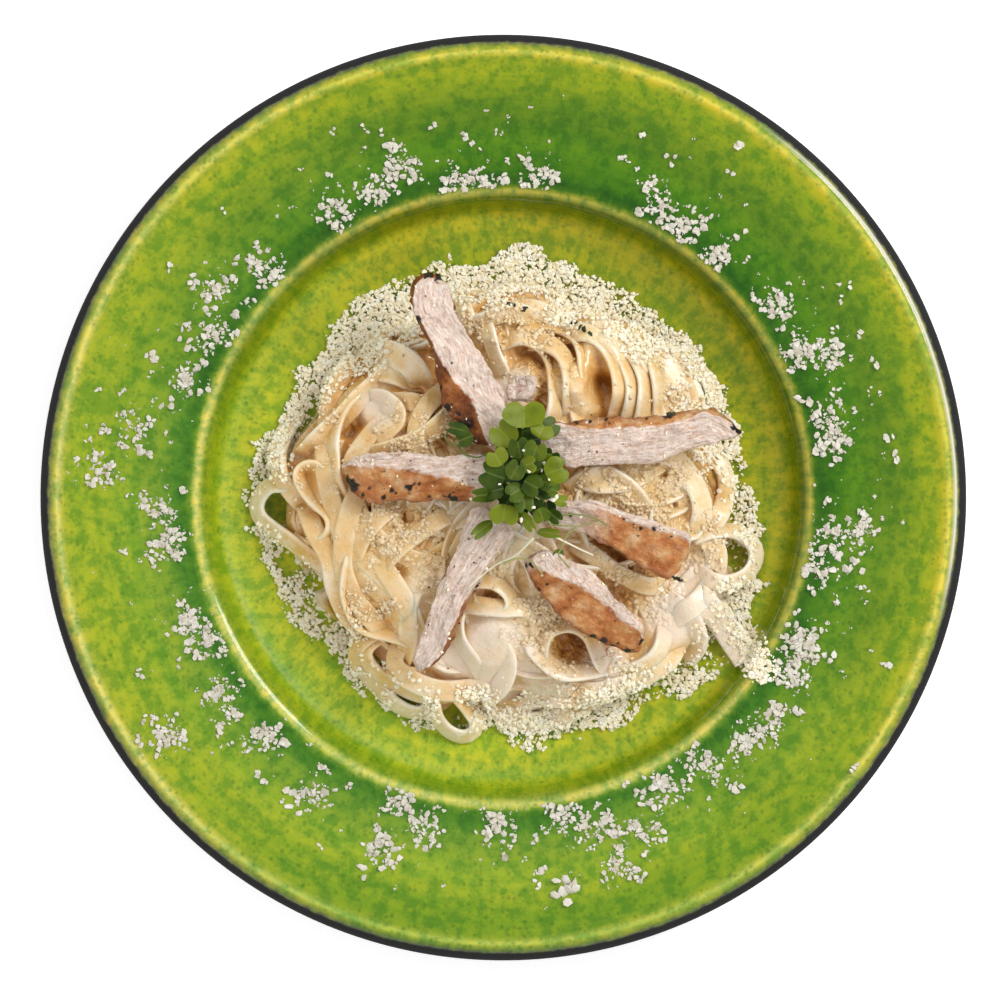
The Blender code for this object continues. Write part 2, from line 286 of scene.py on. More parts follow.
# Glazed stoneware: copper-green glaze dipped over a dark clay body. It is thin and yellow where it
# ran off the lip and the ridge, thick and green where it pooled, and speckled all over.
glaze, tree, shader = newMaterial("glazedStoneware")
place = addNode(tree, "TexCoord", out="Object")
flat = addNode(tree, "VectorMath", {0: place, 1: (1, 1, 0)}, operation="MULTIPLY")
distance = addNode(tree, "VectorMath", {0: flat}, operation="LENGTH")
rampEnd = 150  # mm from the axis where the ramps below end
# mottling of 2 to 5 mm shifts the bands in and out
mottle = addNode(tree, "TexNoise", {"Vector": place, "Scale": 260, "Detail": 5, "Roughness": 0.68})
cloud = addNode(tree, "TexNoise", {"Vector": place, "Scale": 34, "Detail": 3, "Roughness": 0.55})
shift = addNode(tree, "MapRange", {0: mottle, 1: 0.3, 2: 0.7, 3: -0.0012, 4: 0.0012})
plainShare = addNode(tree, "Math", {0: distance, 1: rampEnd * mm}, operation="DIVIDE")
# but hardly at the ridge and at the lip, where the bands are crisp
crisp = addNode(tree, "ValToRGB", {0: plainShare}, stops=[
    (0.0, "#ffffff"), (0.575, "#ffffff"), (0.59, "#747474"), (0.625, "#747474"), (0.643, "#ffffff"),
    (0.87, "#ffffff"), (0.885, "#606060"), (0.904, "#606060"), (0.912, "#b0b0b0")])
radius = addNode(tree, "Math", {0: shift, 1: crisp, 2: distance}, operation="MULTIPLY_ADD")
share = addNode(tree, "Math", {0: radius, 1: rampEnd * mm}, operation="DIVIDE")
glazeBands = (
    # mm from the axis, colour on the lit left, and the same bands darkened by painted shade on the upper
    # right
    (0, "#b0bc18", "#989c0c"), (76, "#b4c01c", "#989c0c"), (81, "#b4bc20", "#9a9c10"),
    (84.5, "#aabc2a", "#b4b014"), (87, "#9cb020", "#a4a20f"), (89.5, "#8ea21c", "#66760c"),
    (91.2, "#8a9c24", "#5c680c"), (92.2, "#b8b84c", "#8a8820"), (93.1, "#d2cc6e", "#aea43c"),
    (94, "#b8ba50", "#7c861e"), (94.9, "#6c9028", "#3c680e"), (96.4, "#427618", "#2a580a"),
    (99.5, "#508022", "#3a6c0a"), (103, "#6c9028", "#4a780a"), (108, "#7c9828", "#54800a"),
    (114, "#84a024", "#54790a"), (121, "#92a420", "#67850b"), (129, "#92a41c", "#8c9c0c"),
    (132.4, "#9aa624", "#9ca014"), (133.5, "#b8b44a", "#b6ac2c"), (134.6, "#dad478", "#d8d058"),
    (135.4, "#b8b450", "#b0aa34"), (136.1, "#9a9e38", "#929824"), (136.9, "#868a2a", "#7c801c"),
    (137.4, "#242010", "#201c0c"), (137.9, "#060404", "#060404"),
)
litAndShadedBands = [addNode(tree, "ValToRGB", {0: share}, stops=[(row[0] / rampEnd, row[side]) for row in glazeBands])
         for side in (1, 2)]
# which of the two a place has: by its direction from the middle, broken up by the cloud, so that the upper
# right gets the painted shade
shadeLean = addNode(tree, "VectorMath", {0: place, 1: (5.0, 6.6, 0)}, operation="DOT_PRODUCT")
shadeLeanCloud = addNode(tree, "Math", {0: cloud, 1: 1.3, 2: shadeLean}, operation="MULTIPLY_ADD")
# thick is the share of the copy with painted shade
thick = addNode(tree, "MapRange", {0: shadeLeanCloud, 1: 0.15, 2: 1.25})
# brush and throwing marks: streaks 3 mm wide drawn round the plate
bearing = addNode(tree, "VectorMath", {0: flat}, operation="NORMALIZE")
outwards = addNode(tree, "Math", {0: distance, 1: 300.0}, operation="MULTIPLY")
outwards = addNode(tree, "CombineXYZ", {2: outwards})
streakPlace = addNode(tree, "VectorMath", {0: bearing, 1: (1.8, 1.8, 0), 2: outwards},
                      operation="MULTIPLY_ADD")
streaks = addNode(tree, "TexNoise", {"Vector": streakPlace, "Scale": 1, "Detail": 4, "Roughness": 0.6})
streakShare = addNode(tree, "MapRange", {0: streaks, 1: 0.42, 2: 0.66, 4: 0.75})
# blotches of 1 to 6 mm, longest towards the axis: greener where the glaze is thick, yellower where it is thin
inwards = addNode(tree, "Math", {0: distance, 1: 0.9}, operation="MULTIPLY")
inwards = addNode(tree, "CombineXYZ", {2: inwards})
patchPlace = addNode(tree, "VectorMath", {0: bearing, 1: (0.105, 0.105, 0), 2: inwards},
                     operation="MULTIPLY_ADD")
patch = addNode(tree, "TexNoise", {"Vector": patchPlace, "Scale": 220, "Detail": 6, "Roughness": 0.70})
greener = addNode(tree, "MapRange", {0: patch, 1: 0.49, 2: 0.585, 4: 0.82})
yellower = addNode(tree, "MapRange", {0: patch, 1: 0.49, 2: 0.41, 4: 0.8})
# soft speckles of 0.5 to 1.3 mm, in two of three cells of 1.7 mm
dots = addNode(tree, "TexVoronoi", {"Vector": place, "Scale": 600})
dotDice = addNode(tree, "SeparateXYZ", {0: dots.node.outputs["Color"]}, out="X")
dotReach = addNode(tree, "MapRange", {0: dotDice, 1: 0.3, 2: 1.0, 3: 0.05, 4: 0.62})
dotLack = addNode(tree, "Math", {0: dotReach, 1: dots}, operation="SUBTRACT")
dotStrength = addNode(tree, "MapRange", {0: distance, 1: 0.1362, 2: 0.137, 3: 0.4, 4: 0.0})
dotShare = addNode(tree, "MapRange", {0: dotLack, 1: 0.0, 2: 0.36, 4: dotStrength})
# painted highlight: on the right the lip carries a white line 0.8 mm wide
rightSide = addNode(tree, "VectorMath", {0: bearing, 1: (0.94, 0.33, 0)}, operation="DOT_PRODUCT")
rightShare = addNode(tree, "MapRange", {0: rightSide, 1: 0.80, 2: 0.90, 4: 0.9})
lipHighlightLine = addNode(tree, "ValToRGB", {0: plainShare}, stops=[
    (0.9055, "#000000"), (0.9075, "#ffffff"), (0.9125, "#ffffff"), (0.914, "#000000")])
lipHighlightShare = addNode(tree, "Math", {0: rightShare, 1: lipHighlightLine}, operation="MULTIPLY")
# at the near side the glaze ran together on the outer rim
nearSide = addNode(tree, "VectorMath", {0: bearing, 1: (0.1, -1, 0)}, operation="DOT_PRODUCT")
nearShare = addNode(tree, "MapRange", {0: nearSide, 1: 0.55, 2: 0.95})
pooled = addNode(tree, "MapRange", {0: distance, 1: 0.117, 2: 0.127, 4: 0.8})
pooledShare = addNode(tree, "Math", {0: nearShare, 1: pooled}, operation="MULTIPLY")
# the underside is the bare dark clay
normalZ = addNode(tree, "SeparateXYZ", {0: addNode(tree, "NewGeometry", out="Normal")}, out="Z")
bareClay = addNode(tree, "MapRange", {0: normalZ, 1: -0.05, 2: 0.05, 3: 1.0, 4: 0.0})
tint = litAndShadedBands[0]
for share, colour, blend in (
        (thick, litAndShadedBands[1], "MIX"), (streakShare, (0.62, 0.84, 0.7, 1), "MULTIPLY"),
        (greener, (0.50, 0.74, 0.62, 1), "MULTIPLY"), (yellower, (1.30, 1.14, 0.9, 1), "MULTIPLY"),
        (dotShare, "#38640e", "MIX"), (lipHighlightShare, "#d9d2c6", "MIX"),
        (pooledShare, (0.50, 0.72, 0.3, 1), "MULTIPLY"), (bareClay, "#191512", "MIX")):
    tint = addNode(tree, "Mix", {0: share, 6: tint, 7: colour}, data_type="RGBA", blend_type=blend)
# the well is scoured by cutlery and duller than the rim
wear = addNode(tree, "MapRange", {0: distance, 1: 0.087, 2: 0.090, 3: 0.46, 4: 0.05})
bareEdge = addNode(tree, "MapRange", {0: distance, 1: 0.1368, 2: 0.1378, 3: 0.0, 4: 0.85})
roughness = addNode(tree, "Math", {0: wear, 1: bareEdge}, operation="MAXIMUM")
ripple = addNode(tree, "Bump", {"Height": patch, "Strength": 0.018, "Distance": 0.0010})
fillSockets(tree, shader, {"Base Color": tint, "Roughness": roughness, "IOR": 1.5, "Specular IOR Level": 0.36,
                           "Normal": ripple})

platePiece = makePiece("stoneware_plate", np.concatenate([turned.reshape(-1, 3), poles]),
                       poledFaces(len(profile), plate["steps"]), glaze)
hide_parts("plate")


# The heap's outer form, the same as the CAD solid's, and a grid that holds the height of the food so far

heap = {
    "radius": 73.0, "height": 31.0, "edge": 1.4, "fullness": 2.3, "limit": 83.5,  # mm
    "bulges": ((-31, 13, 26), (-6, 1.5, 14), (30, 2.5, 9), (183, 6, 15), (88, 2, 16), (-78, 2.5, 22)),
    "waves": ((9, 0.8, 0.4), (17, 0.7, 1.9), (29, 0.4, 0.7)),
}


def heapOutline(angle):
    # Metres: a circle with bulges (a bell curve round each direction) and three small waves
    radius = heap["radius"] + sum(size * np.sin(count * angle + phase) for count, size,
                                  phase in heap["waves"])
    for direction, extra, width in heap["bulges"]:
        away = np.degrees(np.angle(np.exp(1j * (angle - math.radians(direction)))))
        radius = radius + extra * np.exp(-((away / width) ** 2))
    return np.minimum(radius, heap["limit"]) * mm


def insideOutline(x, y):
    # Metres from a place out to the heap's outline
    return heapOutline(np.arctan2(y, x)) - np.hypot(x, y)


def heapTop(x, y):
    # Metres: the floor, and on it a dome that falls to a thin edge at the outline
    radius = np.hypot(x, y)
    share = np.clip(radius / heapOutline(np.arctan2(y, x)), 0, 1)
    dome = heap["edge"] + (heap["height"] - heap["edge"]) * (1 - share ** heap["fullness"]) ** 0.85
    return floorHeight(radius) + (0.3 + dome) * mm


cell = 0.5 * mm
reach = 96 * mm
count = int(round(2 * reach / cell)) + 1
axisRun = np.linspace(-reach, reach, count)
gridX, gridY = np.meshgrid(axisRun, axisRun, indexing="ij")
gridRadius = np.hypot(gridX, gridY)
glazeHeight = plateTop(gridRadius)
domeHeight = heapTop(gridX, gridY)
foodHeight = np.maximum(glazeHeight, domeHeight - 12 * mm)  # starts as a smaller core


def heightAt(grid, x, y):
    # Value of a grid at places between its cells, mixed from the four around
    u = np.clip((x + reach) / cell, 0, count - 1.001)
    v = np.clip((y + reach) / cell, 0, count - 1.001)
    i, j = u.astype(int), v.astype(int)
    a, b = u - i, v - j
    return (grid[i, j] * (1 - a) * (1 - b) + grid[i + 1, j] * a * (1 - b)
            + grid[i, j + 1] * (1 - a) * b + grid[i + 1, j + 1] * a * b)


def raiseGrid(x, y, z):
    # The grid keeps the highest point that falls in each cell
    i = np.clip(np.rint((x + reach) / cell).astype(int), 0, count - 1)
    j = np.clip(np.rint((y + reach) / cell).astype(int), 0, count - 1)
    np.maximum.at(foodHeight, (i, j), z)


def blurGrid(grid, width):
    # Gaussian blur of a grid, one direction after the other
    span = int(math.ceil(2.5 * width / cell))
    shares = np.exp(-((np.arange(-span, span + 1) * cell / width) ** 2) / 2)
    for direction in (0, 1):
        grid = sum(s * np.roll(grid, k, direction) for k, s in zip(range(-span, span + 1),
                                                                   shares)) / shares.sum()
    return grid


def crestGrid(grid, width):
    # Highest value within a square window
    span = int(round(width / cell))
    for direction in (0, 1):
        grid = np.max([np.roll(grid, k, direction) for k in range(-span, span + 1)], axis=0)
    return grid


# The noodles: flat ribbons laid one after another, each on what lies under it

noodle = {
    "thickness": 1.8, "step": 1.5,  # mm
    "sides": 12,
    "squareness": 0.6,  # 1 is an ellipse, lower is more like a rectangle
    "sink": 3.6,  # mm that both ends go down
    # gaps that show no filler: x, y and radius in mm
    "open": ((28, 34, 6), (13.5, 46.5, 6), (-26, 30, 5), (18, -45.5, 6), (-4, 44, 5), (6, -66, 8),
             (-12, -64, 6)),
}
sectionTurn = np.arange(noodle["sides"]) * turn / noodle["sides"] + turn / noodle["sides"] / 2
sectionAcross = np.sign(np.cos(sectionTurn)) * np.abs(np.cos(sectionTurn)) ** noodle["squareness"]
sectionAbove = np.sign(np.sin(sectionTurn)) * np.abs(np.sin(sectionTurn)) ** noodle["squareness"]


def slideMax(values, span):
    # Highest value within a few stations either way
    padded = np.pad(values, span, mode="edge")
    return np.max([padded[k:k + len(values)] for k in range(2 * span + 1)], axis=0)


def slideMean(values, width):
    # Gaussian mean along a row of stations
    span = int(3 * width)
    shares = np.exp(-((np.arange(-span, span + 1) / width) ** 2) / 2)
    padded = np.pad(values, span, mode="edge")
    return np.convolve(padded, shares / shares.sum(), mode="valid")


def layRibbon(controls, width, seed, allow=2.5):
    # A rounded strip along a path. The path is the upper edge where the strip stands and its middle where
    # it lies flat. Its height is the highest thing under it, eased along its length, plus half its own
    # height, and only a quarter counts of what passes the dome by more than allow, in mm.
    path = smoothPath(np.asarray(controls, float), noodle["step"])
    x, y, roll = path[:, 0] * mm, path[:, 1] * mm, np.radians(slideMean(path[:, 2], 2.0))
    ahead = np.stack([np.gradient(x), np.gradient(y)])
    ahead = ahead / np.hypot(*ahead)
    left = np.stack([-ahead[1], ahead[0]])
    run = np.arange(len(x)) * noodle["step"]
    swing = noise(np.stack([run, run * 0, run * 0 + seed], axis=1), 9.0, 5) * 0.16
    roll = roll + swing
    half = width * mm / 2 * (1 + 0.07 * noise(np.stack([run, run * 0 + 7, run * 0 + seed], axis=1), 12.0, 6))
    thick = noodle["thickness"] * mm / 2 * np.ones(len(x))
    centre = np.stack([x, y]) - left * half * np.cos(roll) * np.sin(roll)
    reachOut = np.abs(np.cos(roll)) * half + np.abs(np.sin(roll)) * thick
    tall = np.abs(np.sin(roll)) * half + np.abs(np.cos(roll)) * thick
    offsets = np.linspace(-0.85, 0.85, 7)[:, None]
    under = heightAt(foodHeight, centre[0] + left[0] * reachOut * offsets,
                     centre[1] + left[1] * reachOut * offsets)
    support = 0.6 * under.max(axis=0) + 0.4 * under.mean(axis=0)
    rest = slideMean(slideMax(support, 2), 2.4)
    base = np.maximum(rest, heightAt(glazeHeight, *centre))
    top = base + 2 * tall
    limit = heightAt(domeHeight, *centre) + allow * mm
    limit = np.maximum(limit, heightAt(glazeHeight, *centre) + 2 * tall)
    top = np.where(top > limit, limit + 0.25 * (top - limit), top)
    # both ends sink under what lies there
    sink = noodle["sink"] * mm * (np.exp(-((run / 5) ** 2)) + np.exp(-(((run[-1] - run) / 5) ** 2)))
    z = np.maximum(slideMean(top - tall, 1.2) - sink, heightAt(glazeHeight, *centre) + 0.5 * tall)
    right = np.stack([-left[0] * np.cos(roll), -left[1] * np.cos(roll), -np.sin(roll)], axis=1)
    normal = np.stack([-left[0] * np.sin(roll), -left[1] * np.sin(roll), np.cos(roll)], axis=1)
    spine = np.stack([centre[0], centre[1], z], axis=1)
    # the middle of the strip is a little hollow, as boiled ribbons are
    above = sectionAbove * (1 - 0.18 * (1 - sectionAcross**2))
    points = (spine[:, None] + right[:, None] * (half[:, None] * sectionAcross)[..., None]
              + normal[:, None] * (thick[:, None] * above)[..., None])
    fine = np.linspace(-1, 1, 15)[:, None, None]
    inner = np.linspace(0, len(spine) - 1, 3 * len(spine) - 2)
    dense, denseRight, denseNormal, denseHalf = (rowsBetween(rows, inner)
                                                 for rows in (spine, right, normal, half[:, None]))
    surface = dense + denseRight * denseHalf * fine + denseNormal * thick[0] * np.sign(denseNormal[:, 2:])
    raiseGrid(*np.moveaxis(surface, -1, 0))
    return points


def joinRibbons(ribbons):
    # All ribbons as one set of points and faces, each closed with a flat end
    points, quads, caps, first = [], [], [], 0
    for ribbon in ribbons:
        rows, columns = ribbon.shape[:2]
        points.append(ribbon.reshape(-1, 3))
        quads.append(gridFaces(rows, columns) + first)
        caps.append(first + np.arange(columns))
        caps.append(first + rows * columns - 1 - np.arange(columns))
        first += rows * columns
    return np.concatenate(points), [np.concatenate(quads), np.array(caps)]


# Fillers: open loops of random size and place, kept inside the heap, which show between the others
filler = {
    "tries": 130,  # those that would cross an open gap are left out
    "reach": 62, "size": (9, 27), "drift": 14,  # mm: middle from the axis, radius of a loop, how far it opens
    "sweep": (2.2, 5.0),  # radians
    "margin": (13, 20),  # mm inside the outline, with the last 15 % of the way squeezed
    "tilt": 65, "twist": (10, 40),  # degrees
    "width": (5.2, 6.4),  # mm
    "allow": -2.0,  # mm
}
rng = np.random.default_rng(7)
underRibbons = []
t = np.linspace(0, 1, 14)
for i in range(filler["tries"]):
    direction, away = rng.uniform(0, turn), filler["reach"] * math.sqrt(rng.uniform(0, 1))
    size, start, sweep = rng.uniform(*filler["size"]), rng.uniform(0, turn), rng.uniform(*filler["sweep"])
    loop = start + sweep * t * rng.choice((-1, 1))
    size = size * (1 + 0.5 * np.sin(t * rng.uniform(1, 4) + rng.uniform(0, 6)))
    px, py = (away * side(direction) + size * side(loop) + rng.uniform(-1, 1) * filler["drift"] * t
              for side in (np.cos, np.sin))
    edge = heapOutline(np.arctan2(py, px)) / mm - rng.uniform(*filler["margin"])
    share = np.hypot(px, py) / edge
    keep = np.where(share > 0.85, (0.85 + 0.15 * np.tanh((share - 0.85) / 0.15)) / share, 1)
    px, py = px * keep, py * keep
    tilt = rng.uniform(-1, 1) * filler["tilt"] + rng.uniform(*filler["twist"]) * np.sin(
        t * rng.uniform(3, 8) + rng.uniform(0, 6))
    if min(np.hypot(px - a, py - b).min() - r for a, b, r in noodle["open"]) < 0:
        continue
    underRibbons.append(layRibbon(np.stack([px, py, tilt], axis=1), rng.uniform(*filler["width"]), 100 + i,
                                  filler["allow"]))
print("filler noodles laid:", len(underRibbons))

# Noodles that show: width in mm, then points (x mm, y mm, roll in degrees; above 0 lifts the left edge)
noodlePaths = (
    # left
    (6.6, ((-58, 6, 15), (-66, 2.5, 40), (-70.5, 2, 45), (-73.3, -1.5, 46), (-73, -5, 46), (-69, -8.5, 45),
           (-63, -12.5, 45), (-57, -17, 44), (-50, -21, 35), (-42, -24, 10))),
    (6.0, ((-62, 26, 10), (-66, 18, 25), (-67, 10, 35), (-64, 3, 30), (-58, -4, 10))),
    (6.2, ((-49, 2, -20), (-53, 7, -46), (-57, 10.5, -49), (-61, 10, -49), (-63, 7.5, -49), (-62.5, 4, -48),
           (-60, 0, -47), (-57, -3, -47), (-54, -5.5, -48), (-53, -8, -49), (-54, -11, -50), (-57, -13, -50),
           (-60, -13, -49), (-63.5, -11, -46))),
    (6.4, ((-44, 42, 5), (-50, 33, 15), (-52.5, 20, 22), (-53, 10, 24), (-51, 0, 24), (-48, -10, 20),
           (-46, -20, 10))),
    # upper left
    (7.0, ((-28, 41, -5), (-36, 37, -18), (-44, 31, -24), (-50, 25, -24), (-56, 19, -20), (-61, 13, -10))),
    (6.4, ((-40, 34, 37), (-45.5, 29, 47), (-48.5, 24, 50), (-50, 18, 51), (-50, 12, 51), (-49.5, 6, 49),
           (-47, -2, 42))),
    (6.2, ((-26, 34, 0), (-31, 29, 18), (-36, 22, 26), (-41, 16, 26), (-45, 10, 18), (-46, 2, 5))),
    (5.8, ((-40, 37, -30), (-33, 35, -45), (-28, 32.5, -46), (-22, 32, -46), (-19.5, 29.5, -46),
           (-22, 26, -46), (-28, 25.5, -42), (-33, 27, -20))),
    (8.0, ((-38, 45, 0), (-33, 44, 6), (-27.5, 41, 12), (-24, 36, 14), (-23, 32, 10))),
    (7.4, ((-41, 30, 0), (-36, 30.5, 20), (-31, 27, 34), (-31, 22, 34), (-36, 18, 26), (-42, 16, 10))),
    # between the upper left strip and the left one
    (6.2, ((-6, 18, 0), (-14, 20, 16), (-22, 24, 24), (-27, 28, 16), (-34, 29, 0))),
    (6.0, ((-12, 30, -10), (-19, 24, -30), (-26, 19, -36), (-34, 16, -26), (-42, 13, -10))),
    (6.0, ((-16, 33, 10), (-22, 27, 22), (-25, 20, 28), (-24, 13, 20), (-20, 8, 0))),
    # between the left strip and the lower left one
    (6.2, ((-44, 2, 10), (-42, -5, 24), (-36, -12, 30), (-28, -17, 24), (-20, -20, 8))),
    (6.2, ((-30, 0, 0), (-37, -7, 22), (-42, -14, 30), (-44, -22, 26), (-42, -30, 10))),
    (6.0, ((-14, -4, 0), (-21, -9, 24), (-29, -15, 34), (-35, -22, 34), (-38, -30, 20))),
    (6.4, ((-45, -13, 6), (-42, -17, 14), (-36, -23, 20), (-30, -28, 20), (-24, -31, 8))),
    (6.2, ((-45, -14, -37), (-47, -18, -44), (-48.5, -24, -47), (-48.8, -30, -47), (-47, -35.5, -47),
           (-44, -39.5, -46), (-40, -41.5, -45), (-35, -42.5, -43), (-30, -44, -36), (-25, -47, -10))),
    (5.8, ((-46, -16, 30), (-44, -19, 39), (-41, -24, 42), (-36.5, -28, 43), (-33, -32, 43), (-30.5, -37, 42),
           (-29.5, -42, 34), (-31, -47, 10))),
    (6.0, ((-24, -24, 0), (-27, -30, 18), (-28, -38, 22), (-28.5, -46, 14), (-31, -52, 4))),
    (6.6, ((-43, 4, 0), (-45.5, -4, 10), (-47.5, -13, 16), (-47, -22, 18), (-43.5, -30, 18), (-39, -37, 10),
           (-34, -42, 0))),
    (6.4, ((-38, -14, 0), (-36, -20, 8), (-31.5, -27, 14), (-27, -35, 14), (-25, -42, 6))),
    (6.4, ((-60, -2, 0), (-56.5, -10, 10), (-52, -18, 16), (-50, -27, 16), (-46, -36, 12), (-40, -42, 0))),
    # lower left and bottom
    (6.6, ((-37, -40, 10), (-42, -45, 41), (-43.2, -48.5, 46), (-41, -52.5, 46), (-37, -57, 46),
           (-33, -61, 46), (-29, -63.5, 46), (-25, -64, 45), (-21, -62, 42), (-17, -58, 20))),
    (6.2, ((-36, -42, 20), (-40, -46, 44), (-40, -49, 48), (-37, -52.5, 49), (-32, -56, 49), (-26, -58.5, 48),
           (-20, -59, 42), (-12, -58, 20))),
    (6.0, ((-21, -56, 30), (-20, -60, 44), (-19, -66, 46), (-16, -70, 47), (-12, -71.5, 47),
           (-9.5, -69.5, 47), (-11.5, -65.5, 46), (-15, -61, 40), (-18, -57, 20))),
    (7.0, ((-4, -61, 0), (0, -65.5, 8), (6, -67.5, 12), (13, -67.5, 12), (20, -65, 10), (27, -60, 0))),
    (6.8, ((-36, -50, 0), (-30, -53.5, 10), (-22, -57, 14), (-14, -58, 14), (-6, -57, 10), (2, -55, 0))),
    (6.0, ((-28, -43, 5), (-31, -46.5, 24), (-31.5, -50, 30), (-28, -53, 20), (-23, -52, 5))),
    (5.6, ((-14, -27, -20), (-8, -26.5, -44), (-3, -27, -46), (1, -30.5, -47), (0, -34, -47),
           (-5, -33.5, -47), (-8.5, -31, -42), (-10, -27, -20))),
    (6.0, ((-15, -32, 0), (-7, -33.5, -24), (0, -34.5, -30), (6, -34, -20), (12, -36, 0))),
    (6.0, ((-11, -31, 20), (-12.5, -36, 42), (-12, -42, 44), (-9, -47, 42), (-6, -52, 30), (-4, -57, 10))),
    (6.6, ((-8, -38, 0), (-3, -41.5, 16), (1.5, -46, 22), (2.5, -52, 22), (-0.5, -58, 16), (-6, -62, 4))),
    # lower right
    (6.2, ((46, -40, 0), (45, -47, -20), (43, -52, -28), (36, -56, -26), (28, -58.5, -22), (20, -60.5, -14),
           (10, -60, 0))),
    (6.0, ((53, -42, 0), (50, -49, -20), (42, -53.5, -34), (33, -56, -34), (26, -58, -20), (18, -56, 0))),
    (6.2, ((6, -40, -10), (10, -48, -30), (17, -54, -37), (26, -54, -37), (34, -51, -24), (40, -47, 0))),
    (6.0, ((13, -51, -37), (13, -46, -48), (14, -42, -49), (18, -40, -49), (22, -40.5, -49), (25, -43, -49),
           (26.8, -47, -47), (29, -51, -36), (34, -54, -10))),
    (6.0, ((48, -36, -10), (47.5, -42, -39), (46, -46, -43), (43, -49, -44), (38, -51.5, -41),
           (32, -52, -20))),
    (6.6, ((44, -28, 0), (52, -31, 12), (58, -36, 18), (60, -44, 12), (56, -50, 0))),
    (7.0, ((58, -8, 0), (64, -16, -10), (63, -25, -14), (58, -32, -8), (50, -38, 0))),
    (8.5, ((57, -29, 0), (62, -33, 0), (66.5, -37.5, 1.5), (70, -42, 3), (73, -47, 3.5), (74.4, -49.6, 3))),
    (6.0, ((58, -13, -20), (64, -11.5, -42), (71, -12, -45), (75.5, -16, -45), (74.5, -21, -44),
           (70, -24, -42), (64, -24.5, -24), (58, -22, 0))),
    (5.8, ((20, -13, 0), (28, -17, 22), (36, -22, 26), (44, -26, 20), (52, -26, 0))),
    # right, between the two strips there
    (6.4, ((22, 6, 0), (28, 3, -20), (35, 3, -30), (42, 6, -24), (48, 10, -8))),
    (6.0, ((20, 2, 0), (25, 7, 30), (32, 8.5, 37), (38, 5, 36), (42, -1, 20), (43, -6, 0))),
    (6.8, ((40, 12, 0), (47, 12.5, -16), (53, 9, -28), (57, 3, -30), (59, -4, -22), (58, -12, 0))),
    (6.0, ((60, 14, 0), (65, 10, -20), (67, 3, -26), (65, -5, -18), (60, -10, 0))),
    # upper right fan
    (6.0, ((48, 44, 0), (53, 42, -24), (58, 38, -37), (62, 34, -39), (62.5, 28, -36), (60, 23, -10))),
    (7.0, ((42, 46, 0), (49, 42, -10), (54, 37, -14), (57, 31, -12), (58, 25, 0))),
    (7.0, ((38, 48, 0), (45, 43, -12), (49.5, 38, -18), (52, 32, -18), (53, 25, -6))),
    (6.2, ((30, 52, -10), (36, 50, -36), (42, 45, -43), (45, 38, -45), (46, 30, -44), (46, 24, -37))),
    (6.2, ((22, 51, -10), (27, 49.5, -36), (34, 46.5, -44), (39, 41, -46), (41.3, 35, -46), (41, 28, -44),
           (40, 22, -37))),
    (6.2, ((17, 54, -10), (24, 52, -39), (30, 48.5, -44), (33.5, 44, -47), (36.3, 38, -47), (37.6, 33, -47),
           (37, 27, -44), (36, 22, -37))),
    (6.2, ((0, 48, 0), (7, 50.5, -36), (15, 50.5, -44), (20.5, 48, -47), (22.6, 44, -48), (23.2, 38, -48),
           (24, 30, -46), (25, 24, -37))),
    (6.0, ((-1, 46, -10), (5, 47, -39), (10, 45, -44), (13, 41, -46), (14, 35, -46), (14, 27, -42),
           (12, 20, -20))),
    (6.2, ((24, 50, 0), (30, 50.5, -10), (38, 45.5, -22), (43, 40, -26), (45, 34, -20))),
    (6.4, ((18, 49, 0), (24, 49, -20), (28.5, 46.5, -34), (31.5, 42, -40), (33.5, 36, -40), (34, 30, -30),
           (33, 24, -20))),
    (6.4, ((8, 47, 0), (13, 45.5, -24), (17, 42, -36), (18.5, 37, -38), (19, 31, -34), (19.5, 25, -20))),
    # top
    (6.2, ((-14, 50, 0), (-10, 56, 20), (-3, 61, 30), (6, 63, 30), (14, 61, 20), (20, 56, 0))),
    (6.0, ((-12, 46, 0), (-6, 53, -10), (2, 56, -14), (10, 56.5, -10), (18, 53, 0))),
    (6.0, ((-13, 51, 10), (-9, 53.5, 30), (-3, 56, 36), (4, 57, 24), (10, 54, 0))),
    (5.6, ((-6, 54, 10), (-3.5, 50, 39), (-1.5, 44, 44), (0.5, 39, 42), (1, 33, 20))),
    (5.4, ((-14, 65, 0), (-12, 61, 20), (-10.5, 56, 26), (-9, 50, 10))),
    (5.6, ((8, 44, 10), (7, 38, 37), (5, 32, 37), (4, 26, 10))),
)
topRibbons = [layRibbon(path, width, i) for i, (width, path) in enumerate(noodlePaths)]
print("noodles laid:", len(topRibbons))

# Depth of a place below the crests round it, in mm: the materials paint shade there, deeper and more amber
crest = blurGrid(crestGrid(foodHeight, 3 * mm), 2.5 * mm)


def spots(x, y, places, full=0.6, gone=1.6):
    # Highest of a set of soft round spots: 1 within the first share of their radius and 0 past the second
    return np.max([1 - ease(np.hypot(x - a * mm, y - b * mm) / (r * mm), full, gone) for a, b, r in places],
                  axis=0)


tints = {  # x, y and radius in mm of the places that are
    # coated white with cream
    "creamy": ((-4, -44, 9), (-13, -48, 7), (14, -58, 7), (30, -52, 6), (60, -30, 10), (68, -40, 8),
               (74, -48, 8), (52, -36, 8), (-3, -54, 8), (8, -50, 6), (-38, 27, 5), (-58, -27, 5), (4, 33, 5),
               (10, -66, 6)),
    # deep in butter and sauce, and painted darker amber there as shade
    "amberShade": ((-38, -14, 13), (-24, -14, 10), (-20, 22, 12), (-40, -34, 10), (-50, 4, 9), (-36, 12, 8),
              (-12, -30, 8), (-46, 28, 9), (-34, -50, 8), (28, 36, 7), (14, 44, 8), (20, -44, 8),
              (-14, -60, 7), (-54, -12, 9), (-57, -36, 8), (-46, -46, 9), (-60, 8, 8)),
}


